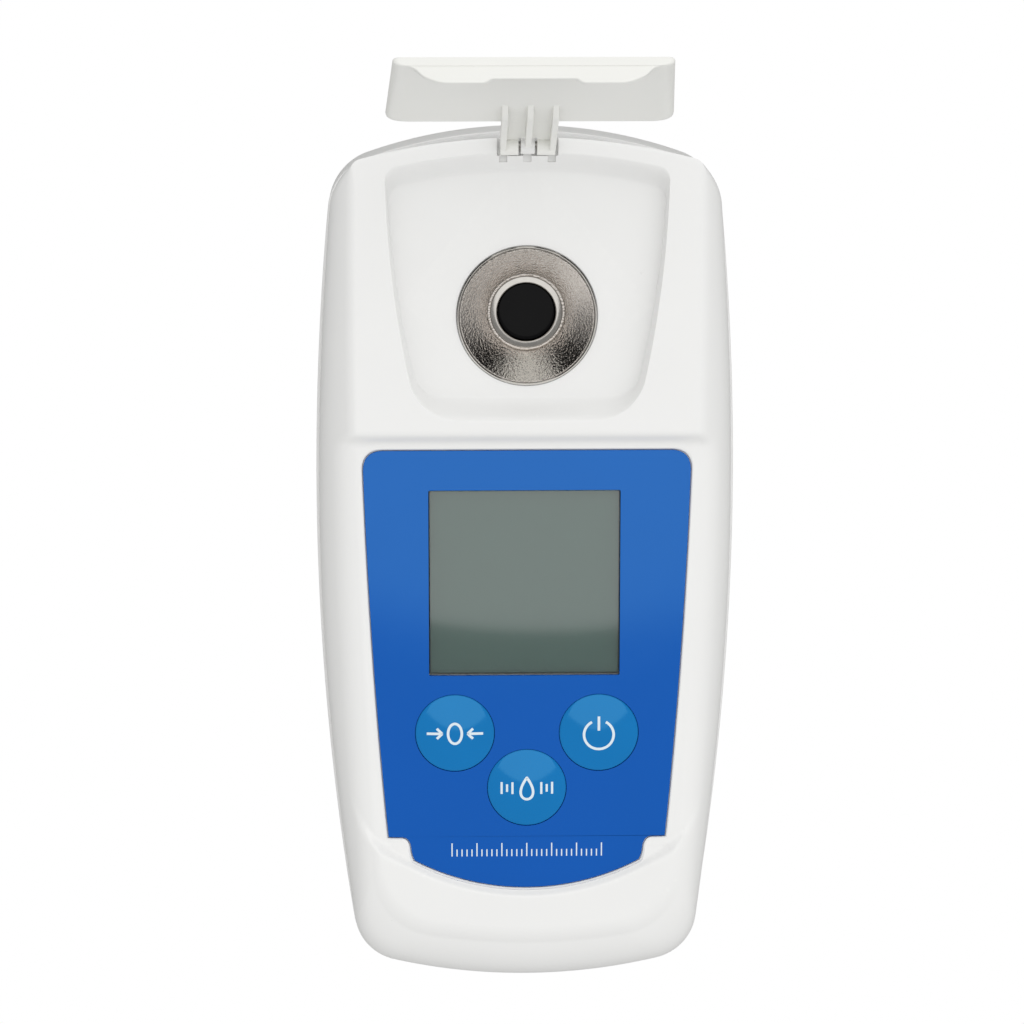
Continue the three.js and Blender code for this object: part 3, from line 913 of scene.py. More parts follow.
class Finishes:
    """Every finish of the instrument, by its material slot."""

    def __init__(self, well_centre: Point2) -> None:
        """Builds the materials.

        Args:
            well_centre: Axis of the sample well, in millimetres.
        """
        white = Plastic("white_abs", srgb(241, 241, 240), 0.3, roughness_spread=0.07, shift=0.015, wear=0.25,
                        wear_color=srgb(250, 250, 248))
        printed = Plastic("blue_film", srgb(18, 88, 184), 0.07, roughness_spread=0.02, shift=0.05,
                          cloud_scale=60.0, grain_scale=3800.0, grain=0.02, ior=1.85, gleam=(0.3, 0.8, 1.0))
        self.white = white.material()
        # The cover's copy of the white plastic is made lighter than the case's as painted light: it stands in for
        # the bounce light on the cover's shaded inner face.
        self.cover = replace(white, name="cover_white_painted_light", color=srgb(243, 243, 239), roughness=0.34).material()
        self.film = printed.material()
        self.key = replace(printed, name="blue_key", color=srgb(18, 119, 190), shift=0.06, cloud_scale=130.0,
                           grain_scale=4500.0).material()
        self.ink = Plastic("white_ink", srgb(226, 238, 246), 0.4, roughness_spread=0.06, shift=0.05,
                           cloud_scale=500.0, grain_scale=9000.0, grain=0.05).material()
        self.window = ClearSheet("clear_window", (0.97, 0.98, 0.97), 2.4).material()
        self.display = Plastic("display_glass", srgb(77, 105, 100), 0.32, shift=0.05, cloud_scale=45.0,
                               grain_scale=6000.0, grain=0.0).material()
        self.cone = TurnedMetal("well_cone", srgb(231, 225, 219), 0.04, well_centre, pits=1.0,
                                pit_scale=3600.0, pit_depth=0.00006).material()
        self.bright = TurnedMetal("polished_ring", srgb(226, 223, 218), 0.12, well_centre, pitch=0.08,
                                  marks=0.12).material()
        self.prism = Plastic("prism_glass", srgb(16, 16, 17), 0.08, roughness_spread=0.02, shift=0.2,
                             cloud_scale=300.0, grain_scale=3000.0, grain=0.01, ior=1.2).material()
        self.steel = Plastic("plated_steel", srgb(188, 186, 182), 0.28, roughness_spread=0.1, shift=0.08,
                             cloud_scale=600.0, grain=0.15, metallic=1.0).material()
        self.black = Plastic("black_moulding", srgb(28, 28, 29), 0.55, roughness_spread=0.12, shift=0.15,
                             cloud_scale=250.0, grain_scale=3000.0, grain=0.2).material()
        self.rubber = Plastic("soft_rubber", srgb(34, 34, 35), 0.8, roughness_spread=0.1, shift=0.2,
                              cloud_scale=300.0, grain_scale=2500.0, grain=0.3).material()
        self.board = Plastic("green_board", srgb(24, 84, 50), 0.4, roughness_spread=0.1, shift=0.15,
                             cloud_scale=400.0, grain_scale=2200.0, grain=0.2).material()
        self.copper = Plastic("amber_film", srgb(190, 138, 62), 0.35, roughness_spread=0.1, shift=0.1,
                              cloud_scale=300.0, grain_scale=4000.0, grain=0.1).material()
        self.jacket = Plastic("cell_jacket", srgb(52, 58, 66), 0.3, roughness_spread=0.06, shift=0.1,
                              cloud_scale=200.0, grain=0.05, coat=0.4).material()
        self.lens = ClearSheet("lens_glass", (0.95, 0.96, 0.96)).material()
        self.by_slot = {
            "case_white": self.white, "panel_blue": self.film, "key_blue": self.key, "window": self.window,
            "display": self.display, "well_steel": self.cone, "bright_steel": self.steel,
            "prism_glass": self.prism, "lens_glass": self.lens, "black_plastic": self.black,
            "rubber": self.rubber, "board": self.board, "film_copper": self.copper, "cell_jacket": self.jacket,
        }

    def dress(self, obj: Piece, material: Material) -> Piece:
        """Gives an object one material.

        Args:
            obj: The object.
            material: The material.

        Returns:
            The same object.
        """
        obj.data.materials.clear()
        obj.data.materials.append(material)
        return obj

    def dress_frame(self) -> None:
        """Gives every CAD node its slot's material."""
        slots = {part["node"]: part["material_slot"] for part in frame["record"]["subparts"]}
        for name, obj in frame["nodes"].items():
            self.dress(obj, self.by_slot[slots[name]])


def fit(obj: Piece, body: Body, slot: str, *nodes: str) -> Piece:
    """Puts a finished piece on its body.

    Args:
        obj: The piece, in place.
        body: The body it moves with.
        slot: The record's material slot; not used.
        nodes: CAD nodes that it stands for.

    Returns:
        The piece.
    """
    if nodes:
        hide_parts(*nodes)
    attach(obj, body.value)
    log.info("%s: %d faces on %s", obj.name, len(obj.data.polygons), body.value)
    return obj


# ---------------------------------------------------------------- shells


@dataclass(frozen=True)
class PanelPlan:
    """Plan of the printed panel: round top corners, tapering sides, notches and a round bottom.

    The notch points hold their distance from the middle and their rise over notch_y. From the bottom arc's
    end up to the top edge, every second point is a bend and the others lie on the outline.
    """

    half: float = 22.35
    top: float = 18.1
    corner: float = 2.8
    waist: Point2 = (21.5, -12.0)
    notch_y: float = -36.6
    notch: tuple[Point2, ...] = (
        (16.0, -2.6), (16.1, -1.4), (16.3, 0.0), (17.4, 0.0), (19.2, 0.0), (19.2, 0.05))
    arc_y: float = -11.2
    arc_r: float = 32.7
    arc_half: float = 15.6
    arc_steps: int = 60
    curve_steps: tuple[int, ...] = (6, 10, 6, 60, 14)

    def points(self, margin: float = 0.0) -> np.ndarray:
        """Points of the plan.

        Args:
            margin: How far the outline is moved outwards.

        Returns:
            The points, counter-clockwise.
        """
        arc_r = self.arc_r + margin
        swing = math.asin((self.arc_half + margin) / arc_r)
        turn = np.linspace(-math.pi / 2, -math.pi / 2 + swing, self.arc_steps, endpoint=False)
        bottom = np.column_stack([arc_r * np.cos(turn), self.arc_y + arc_r * np.sin(turn)])
        arc_end = (self.arc_half + margin, self.arc_y - arc_r * math.cos(swing))
        notch = [(x + margin, self.notch_y - margin + rise) for x, rise in self.notch]
        waist = (self.waist[0] + margin, self.waist[1])
        half, top = self.half + margin, self.top + margin
        path = [arc_end, *notch, waist, (half, top - self.corner), (half, top), (half - self.corner, top)]
        curves = [curve(*path[2 * i:2 * i + 3], count, endpoint=False)
                  for i, count in enumerate(self.curve_steps)]
        right = np.concatenate([bottom, *curves, [path[-1]]])
        left = right[:0:-1] * [-1, 1]
        return np.concatenate([right, left])


PANEL = PanelPlan()


@dataclass
class FrontShell:
    """Front half of the case: drafted walls, raised head with a scooped recess, rails and raised chin."""

    step: Point2 = (18.8, 20.8)
    chin_upper: tuple[Point2, ...] = (
        (0, -37.5), (18.9, -37.5), (21.2, -36.4), (23.3, -33), (25.4, -28.6), (29, -22))
    chin_lower: tuple[Point2, ...] = (
        (0, -40.6), (17.8, -40.6), (20, -39.3), (22.8, -36.4), (25.8, -31.5), (29, -25))
    chin_end: float = -20.0
    chin_rim_y: float = -38.0
    chin_rim_r: float = 32.9  # round the centre of the panel's bottom arc
    chin_rim_share: float = 0.25
    rail_softness: float = 2.6
    head_softness: float = 0.9
    top_softness: float = 0.22
    foot_softness: float = 4.4
    head_from: Point2 = (17.0, 21.0)
    top_from: Point2 = (54.0, 58.0)
    foot_from: Point2 = (-38.0, -52.0)
    spine: Point2 = (-30.0, 36.0)
    wall_rings: int = 44
    face_rings: int = 104
    first_ring: float = 0.016
    face_rise: float = 1.35  # rise of the face's guide rings toward the spine, as a share of FACE.side
    steps: tuple[int, int, int, int] = (130, 56, 300, 40)
    draft: float = 2.3
    parting_inset: float = 0.18
    groove: tuple[float, float, float, float] = (0.42, 1.48, 11.0, 11.66)  # outer and inner inset, foot, top
    hollow: tuple[Point2, ...] = ((10.5, 0.0), (14, 0.1), (17, 0.3), (19, 0.52), (LEVELS.panel_ceiling, 0.75))
    posts: tuple[tuple[str, int, float, float], ...] = (
        ("case", 4, 2.6, 11.9), ("board", 4, 1.9, 17.3), ("optics", 2, 2.2, 15.2))
    recess_steps: tuple[int, int, int, int] = (60, 40, 90, 24)
    recess_rings: int = 22
    recess_reach: float = 1.04
    recess_rim_round: float = 0.93
    pocket_gap: float = 0.15
    pocket_chamfer: float = 0.36
    notch: float = 4.1
    notch_y: Point2 = (58.35, 62)
    notch_depth: float = 1.7  # under the hinge's axis
    rib_slots: tuple[float, float, float] = (-3.25, 0.0, 3.25)
    rib_slot_half: float = 0.55
    rib_slot_y: Point2 = (57.4, 59)
    ear_half: float = 0.95
    ear_r: float = 1.15
    ear_foot: float = 20.6
    ear_heel: Point2 = (60.2, 1.2)  # its place along the case and the drop where the outer side begins
    pin_r: float = 0.66
    window_gap: float = 0.2
    key_hole: float = 5.65
    well_hole: float = 9.05
    well_seat: Point2 = (9.62, 20.85)  # radius and height
    through: Point2 = (18, 27)

    def face_height(self, x: np.ndarray, y: np.ndarray) -> np.ndarray:
        """Height of the face surface over each point: head, step, rails and chin.

        Args:
            x: Distances from the middle plane.
            y: Places along the case.

        Returns:
            The heights.
        """
        upper = np.interp(np.abs(x), *np.transpose(self.chin_upper))
        lower = np.interp(np.abs(x), *np.transpose(self.chin_lower))
        past_rim = np.where(y < self.chin_rim_y, np.hypot(x, y - PANEL.arc_y) - self.chin_rim_r, 1.0)
        rim = self.chin_rim_share + (1 - self.chin_rim_share) * ramp(past_rim)
        chin_share = np.where(y < self.chin_end, between(y, upper, lower) * rim, 0.0)
        chin = (LEVELS.chin - LEVELS.panel) * chin_share
        return LEVELS.panel + (LEVELS.head - LEVELS.panel) * between(y, *self.step) + chin

    def edge_softness(self, y: np.ndarray) -> np.ndarray:
        """Blend width between wall and face: crisp at the head, softer at the rails, round at the chin.

        Args:
            y: Places along the case.

        Returns:
            The widths.
        """
        head, top, foot = (between(y, *limits) for limits in (self.head_from, self.top_from, self.foot_from))
        upper = self.head_softness * (1 - top) + self.top_softness * top
        return (self.rail_softness * (1 - head) + upper * head) * (1 - foot) + self.foot_softness * foot

    def raised(self, outline: np.ndarray, wall: float) -> np.ndarray:
        """Ring on the outer surface: the lower of the wall's and the face's heights."""
        x, y = outline.T
        return level(outline, soft_min(np.full(len(x), wall), self.face_height(x, y), self.edge_softness(y)))

    def body(self) -> Piece:
        """Solid inside the outer surface, down to the parting line.

        Returns:
            The solid.
        """
        rings = [level(PARTING.points(self.parting_inset, self.steps), LEVELS.parting_high)]
        height_span = LEVELS.head - LEVELS.parting_high
        for t in np.linspace(self.first_ring, 1.0, self.wall_rings):
            outline = PARTING.toward(FACE, t**self.draft).points(0.0, self.steps)
            rings.append(self.raised(outline, LEVELS.parting_high + t * height_span))
        face = FACE.points(0.0, self.steps)
        spine = np.column_stack([np.zeros(len(face)), np.clip(face[:, 1], *self.spine)])
        for share in np.linspace(0, 1, self.face_rings)[1:]:
            outline = face + (spine - face) * share
            rings.append(self.raised(outline, LEVELS.head + self.face_rise * FACE.side * share))
        return skin("front_shell_fine", rings)

    def cavity(self) -> Piece:
        """Hollow of the front shell, round its screw posts.

        Returns:
            The hollow, as a solid.
        """
        rings = [level(PARTING.toward(FACE, share).points(WALL, COARSE), z) for z, share in self.hollow]
        hollow = skin("cavity", rings)
        combine(hollow, Cut.REMOVE, block("chest", (-30, 30), (self.step[1], 62), (LEVELS.head_ceiling, 26)))
        for kind, count, radius, foot in self.posts:
            for i in range(count):
                centre = node_centre(f"{kind}_screw_{i + 1}")[:2]
                post = slab("post", circle(radius, 32, centre), foot, LEVELS.above)
                combine(hollow, Cut.REMOVE, post)
        return hollow

    def recess(self) -> Piece:
        """Scoop in the head: flat floor, sloping walls, round foot and rim.

        Returns:
            The scoop, as a solid.
        """
        rings = [level(RECESS_FLOOR.points(0.25, self.recess_steps), LEVELS.recess)]
        depth = LEVELS.head - LEVELS.recess
        full = float(ramp(self.recess_rim_round))
        for t in np.linspace(0, self.recess_reach, self.recess_rings):
            outline = RECESS_FLOOR.toward(RECESS_RIM, t).points(0.0, self.recess_steps)
            rings.append(level(outline, LEVELS.recess + depth * float(ramp(self.recess_rim_round * t)) / full))
        mouth = RECESS_FLOOR.toward(RECESS_RIM, self.recess_reach).points(0.0, self.recess_steps)
        rings.append(level(mouth, LEVELS.above))
        return skin("recess", rings)

    def pocket(self) -> Piece:
        """Shallow pocket for the printed panel, with a fine chamfer at rail level.

        Returns:
            The pocket, as a solid.
        """
        stages = ((self.pocket_gap, LEVELS.pocket), (self.pocket_gap, LEVELS.panel - 0.14),
                  (self.pocket_chamfer, LEVELS.panel + 0.04), (self.pocket_chamfer, LEVELS.above))
        return skin("pocket", [level(PANEL.points(margin), z) for margin, z in stages])

    def ear(self, axis: np.ndarray) -> Piece:
        """Ear that holds the hinge pin.

        Args:
            axis: A point on the pin's axis.

        Returns:
            The ear.
        """
        turn = np.linspace(0, math.pi, 20)
        cap = np.column_stack([axis[1] + self.ear_r * np.cos(turn), axis[2] + self.ear_r * np.sin(turn)])
        heel_y, drop = self.ear_heel
        outer = (axis[1] + self.ear_r, axis[2] - drop)
        foot = [(axis[1] - self.ear_r, self.ear_foot), (heel_y, self.ear_foot), outer]
        return bar("ear", np.concatenate([cap, foot]), -self.ear_half, self.ear_half, Axis.X, 0.12)

    def hinge_notch(self, axis: np.ndarray) -> Piece:
        """Notch in the head's top edge for the cover's knuckles, with a slot for each rib.

        Args:
            axis: A point on the pin's axis.

        Returns:
            The notch, as a solid.
        """
        z = (axis[2] - self.notch_depth, self.through[1])
        notch = block("notch", (-self.notch, self.notch), self.notch_y, z, 0.25)
        for x in self.rib_slots:
            sides = (x - self.rib_slot_half, x + self.rib_slot_half)
            combine(notch, Cut.JOIN, block("slot", sides, self.rib_slot_y, z, 0.1))
        return notch

    def parting_groove(self) -> Piece:
        """Groove for the seal in the parting face.

        Returns:
            The groove, as a solid.
        """
        outer, inner, foot, top = self.groove
        groove = slab("groove", PARTING.points(outer, COARSE), foot, top)
        core = slab("inner", PARTING.points(inner, COARSE), foot - 0.1, top + 0.14)
        return combine(groove, Cut.REMOVE, core)

    def build(self) -> Piece:
        """Builds the shell.

        Returns:
            The shell.
        """
        hinge = hinge_axis()
        shell = self.body()
        combine(shell, Cut.REMOVE, self.cavity(), self.recess(), self.pocket())
        pane = window_block(self.window_gap, self.through[0], 26, 0.3)
        centre = node_centre("sample_well")[:2]
        well = slab("well", circle(self.well_hole, 160, centre), *self.through)
        seat_r, seat_z = self.well_seat
        seat = slab("seat", circle(seat_r, 192, centre), seat_z, self.through[1])
        combine(shell, Cut.REMOVE, self.hinge_notch(hinge), self.parting_groove(), pane, well, seat)
        for mark in Mark:
            key_centre = node_centre(f"key_{mark.value}")[:2]
            combine(shell, Cut.REMOVE, slab("hole", circle(self.key_hole, 120, key_centre), *self.through))
        combine(shell, Cut.JOIN, self.ear(hinge))
        combine(shell, Cut.REMOVE, bar("pin_hole", circle(self.pin_r, 32, hinge[1:]), -2, 2, Axis.X))
        return shade(tidy(shell, FINE_MERGE), 34)


@dataclass
class BackShell:
    """Back half of the case with the cell's compartment, screw pockets and the sliding door."""

    steps: tuple[int, int, int, int] = (60, 30, 110, 22)
    foot_r: float = 4.2
    wall_foot: float = 7.0
    rim: tuple[Point2, ...] = ((0.0, -0.25), (0.07, -0.08), (0.25, 0.0))  # inset, rise over the parting
    hollow: tuple[Point2, ...] = ((WALL, 5.0), (3.2, 3.2), (5.0, 2.4), (12.0, WALL))
    tub: tuple[Point2, Point2, Point2] = ((-8, 8), (-55.95, -4.6), (1, 14.4))
    rails: tuple[Point2, Point2, Point2] = ((-11.4, 11.4), (-56.5, -3.6), (1, 3.4))
    compartment: tuple[Point2, Point2, Point2] = ((-6.2, 6.2), (-55.2, -6.2), (-1, 13.2))
    post_r: float = 3.3
    bore_r: float = 1.45
    mouth: tuple[Point2, ...] = ((0, -1), (2.95, -1), (2.95, 0), (2.5, 0.45), (2.5, 5), (0, 5))
    door_outer: float = 8.4
    door_inner: float = 9.8
    door_face: float = 0.1
    door_top: float = 1.8
    door_start: float = -62
    gap: float = 0.3
    grip: tuple[float, float, float] = (-34.0, -26.0, 1.2)  # start, end and pitch of the grooves
    grip_r: float = 0.45
    grip_half: float = 4.5
    arrow: tuple[Point2, ...] = ((0.0, -40.5), (2.6, -37.2), (-2.6, -37.2))

    def body(self, name: str) -> Piece:
        """Solid inside the outer surface, with a round foot and a slightly drafted wall.

        Args:
            name: The solid's name.

        Returns:
            The solid.
        """
        rings = [level(BACK.points(self.foot_r + 0.3, self.steps), 0.0)]
        for inset, z in quarter_round(self.foot_r, 16):
            rings.append(level(BACK.points(inset, self.steps), z))
        rings.append(level(BACK.points(0.0, self.steps), self.wall_foot))
        for inset, rise in self.rim:
            rings.append(level(BACK.points(inset, self.steps), LEVELS.parting_low + rise))
        return skin(name, rings)

    def door_wedge(self, name: str, grow: float, low: float, high: float, end: float) -> Piece:
        """Dovetail bar of the door's section.

        Args:
            name: The bar's name.
            grow: How much wider it is than the door, on each side.
            low: Its lower height.
            high: Its upper height.
            end: Where it ends toward the well.

        Returns:
            The bar.
        """
        slope = (self.door_inner - self.door_outer) / (self.door_top - self.door_face)
        heights = (low, min(high, self.door_top))
        half = [self.door_outer + grow + slope * (z - self.door_face) for z in heights]
        section = [(-half[0], low), (half[0], low), (half[1], high), (-half[1], high)]
        return bar(name, np.array(section), self.door_start, end, Axis.Y)

    def build(self) -> Piece:
        """Builds the back shell.

        Returns:
            The shell.
        """
        shell = self.body("back_shell_fine")
        cavity = skin("cavity", [level(BACK.points(inset, COARSE), z) for z, inset in self.hollow])
        combine(shell, Cut.REMOVE, cavity)
        combine(shell, Cut.JOIN, block("tub", *self.tub, 0.6), block("rails", *self.rails, 0.5))
        centres = [node_centre(f"case_screw_{i + 1}")[:2] for i in range(4)]
        for centre in centres:
            combine(shell, Cut.JOIN, slab("post", circle(self.post_r, 40, centre), 0.5, 11.2))
        slot_end = node_box("battery_door")[1][1] + self.gap
        slot = self.door_wedge("slot", self.gap, -1.0, self.door_top + self.gap, slot_end)
        combine(shell, Cut.REMOVE, block("compartment", *self.compartment, 0.8), slot)
        for centre in centres:
            combine(shell, Cut.REMOVE, turned("mouth", self.mouth, centre, 48))
            combine(shell, Cut.REMOVE, slab("bore", circle(self.bore_r, 24, centre), 4, 12))
        return shade(tidy(shell, FINE_MERGE), 30)

    def build_door(self) -> Piece:
        """Builds the battery door with its grip grooves and arrow.

        Returns:
            The door.
        """
        end = node_box("battery_door")[1][1]
        door = self.body("battery_door_fine")
        combine(door, Cut.KEEP, self.door_wedge("tongue", 0.0, self.door_face, self.door_top, end))
        for y in np.arange(*self.grip):
            groove = bar("groove", circle(self.grip_r, 20, (y, 0.0)), -self.grip_half, self.grip_half, Axis.X)
            combine(door, Cut.REMOVE, groove)
        combine(door, Cut.REMOVE, slab("arrow", np.array(self.arrow), -1, 0.4))
        return shade(tidy(door, FINE_MERGE), 30)


# ---------------------------------------------------------------- cover


@dataclass
class Cover:
    """Flip cover: thin plate, light-tight lip, ribbed neck and two knuckles round the hinge pin."""

    length: float = 33.2
    base: float = 8.8
    base_half: float = 18.95
    end_half: float = 17.6
    corners: tuple[float, ...] = (0.8, 0.8, 2.6, 2.6)
    side_parts: int = 20
    under: float = 0.25
    over: float = 1.35
    edge: float = 0.25
    bevel: Point2 = (1.5, 0.05)  # its inset at the inner face and at the side
    bevel_left: float = 0.35  # height of the plate that the bevel leaves
    lip: tuple[Point2, ...] = (
        (5.4, -1.4), (6.1, -1.95), (11.8, -1.95), (13.9, -1.05), (14.9, 0.03), (17.2, 0.6), (17.2, 1.2))
    lip_corners: tuple[float, ...] = (0.4, 0.4, 1.6, 0.6, 0.7, 0.3, 0.3)
    lip_y: Point2 = (0.12, 1.2)  # from the plate's end
    neck_half: float = 3.65
    neck_y: Point2 = (-10.8, 0.2)
    neck_z: Point2 = (0.42, 1.32)
    knuckle_r: float = 1.3
    knuckle_gap: float = 1.25
    bore_r: float = 0.68
    rib_length: float = 17.0
    rib_depth: float = 1.05
    rib_slant: float = 2.2
    rib_half: float = 0.4
    side_rib: Point2 = (3.3, -0.8)  # distance from the middle, and start
    middle_rib_start: float = -2.3

    def plan(self, inset: float) -> np.ndarray:
        """Outline of the plate.

        Args:
            inset: How far its sides are drawn in.

        Returns:
            The points, counter-clockwise.
        """
        base, end = self.base_half - inset, self.end_half - inset
        y0, y1 = -self.base - inset, -self.length
        outline = round_corners([(-end, y1), (end, y1), (base, y0), (-base, y0)], self.corners, 10)
        return refine(outline, self.side_parts)

    def plate(self) -> Piece:
        """The plate, thinned by a curved bevel along its inner edges.

        Returns:
            The plate.
        """
        inner, outer = self.bevel
        rings = [level(self.plan(inner + 0.2), self.under), level(self.plan(inner), self.under)]
        rise = self.over - self.under - self.bevel_left
        for turn in np.linspace(0, math.pi / 2, 18):
            inset = inner - (inner - outer) * math.sin(turn)
            rings.append(level(self.plan(inset), self.under + rise * (1 - math.cos(turn))))
        for inset, drop in reversed(quarter_round(self.edge, 7)):
            rings.append(level(self.plan(inset), self.over - drop))
        rings.append(level(self.plan(2 * self.edge), self.over))
        return skin("cover_fine", rings)

    def end_wall(self) -> Piece:
        """Lip that closes the recess against light, with a shallow notch in its middle.

        Returns:
            The lip.
        """
        section = [*self.lip, *[(-x, z) for x, z in reversed(self.lip)]]
        outline = round_corners(section, [*self.lip_corners, *reversed(self.lip_corners)], 5)
        start, end = (y - self.length for y in self.lip_y)
        return bar("lip", outline, start, end, Axis.Y, 0.2)

    def rib(self, x: float, start: float) -> Piece:
        """Rib under the neck and plate.

        Args:
            x: Its distance from the middle.
            start: Where it starts, from the hinge's axis.

        Returns:
            The rib.
        """
        root, end = self.under + 0.15, -self.rib_length
        z = -self.rib_depth
        section = [(start, root), (end, root), (end + self.rib_slant, z), (start, z)]
        outline = round_corners(section, [0.2, 0.2, 0.9, 0.3], 4)
        return bar("rib", outline, x - self.rib_half, x + self.rib_half, Axis.X, 0.1)

    def build(self) -> Piece:
        """Builds the cover in its open rest place.

        Returns:
            The cover.
        """
        cover = self.plate()
        neck = block("neck", (-self.neck_half, self.neck_half), self.neck_y, self.neck_z, 0.15)
        knuckle_half = self.neck_half + 0.03
        knuckle = bar("knuckle", circle(self.knuckle_r, 48), -knuckle_half, knuckle_half, Axis.X, 0.15)
        combine(cover, Cut.JOIN, self.end_wall(), neck, knuckle)
        side, side_start = self.side_rib
        for x, start in ((-side, side_start), (0.0, self.middle_rib_start), (side, side_start)):
            combine(cover, Cut.JOIN, self.rib(x, start))
        slot = block("slot", (-self.knuckle_gap, self.knuckle_gap), (-2, 2), (-2, 2), 0.1)
        bore = bar("bore", circle(self.bore_r, 32), -5, 5, Axis.X)
        combine(cover, Cut.REMOVE, slot, bore)
        joint = cover_joint()
        open_turn = Matrix.Rotation(-math.radians(joint["range_deg"][1]), 4, "X")
        cover.data.transform(Matrix.Translation(Vector(joint["pos_m"])) @ open_turn)
        return shade(tidy(cover, FINE_MERGE), 18)


# ---------------------------------------------------------------- sample well


@dataclass
class SampleWell:
    """Turned metal well, polished ring and dark prism window. Profiles hold radius and height."""

    bowl_profile: tuple[Point2, ...] = (
        (9.16, 21.0), (9.16, 21.43), (9.05, 21.52), (8.99, 21.52), (8.88, 21.43), (7.2, 20.05), (5.45, 18.68),
        (5.36, 18.58), (5.32, 18.45), (5.2, 17.25), (4.15, 17.25), (4.15, 15.8), (5.8, 15.8), (6.1, 17.7),
        (8.75, 20.4), (8.75, 21.0))
    rim_profile: tuple[Point2, ...] = (
        (9.5, 20.9), (9.5, 21.41), (9.36, 21.51), (9.31, 21.51), (9.2, 21.43), (9.2, 20.9))
    ring_profile: tuple[Point2, ...] = (
        (4.0, 17.33), (4.95, 17.33), (4.95, 17.74), (4.84, 17.82), (4.12, 17.9), (4.0, 17.78))
    prism_profile: tuple[Point2, ...] = (
        (0, 15.4), (3.85, 15.4), (3.85, 17.42), (3.8, 17.48), (3.7, 17.5), (3.2, 17.5), (0, 17.5))
    wedge_section: tuple[Point2, ...] = (
        (-2.6, 15.6), (-2.6, 15.4), (-0.6, 11.2), (0.6, 11.2), (2.6, 15.4), (2.6, 15.6))

    def bowl(self, centre: np.ndarray) -> Piece:
        """The conical well with a fine double rim."""
        return shade(turned("sample_well_fine", self.bowl_profile, centre, 192), 24)

    def rim(self, centre: np.ndarray) -> Piece:
        """Polished bead round the mouth of the well."""
        return shade(turned("well_rim_fine", self.rim_profile, centre, 192), 24)

    def ring(self, centre: np.ndarray) -> Piece:
        """Polished ring round the prism window."""
        return shade(turned("prism_ring_fine", round_corners(self.ring_profile, 0.05, 4), centre, 160), 30)

    def prism(self, centre: np.ndarray) -> Piece:
        """Prism: round polished top above a wedge.

        Args:
            centre: The well's axis, [x, y].

        Returns:
            The prism.
        """
        top = turned("prism_fine", self.prism_profile, centre, 128)
        wedge = np.array(self.wedge_section) + [centre[1], 0]
        half = -self.wedge_section[0][0]
        return shade(combine(top, Cut.JOIN, bar("wedge", wedge, -half, half, Axis.X)), 30)


# ---------------------------------------------------------------- panel, keys and marks


class Mark(Enum):
    """Plain symbols on the keys."""

    SET_ZERO = "zero"
    POWER = "power"
    DROP = "measure"


Stroke = tuple[np.ndarray, bool, float]
Height = Callable[[np.ndarray], np.ndarray]


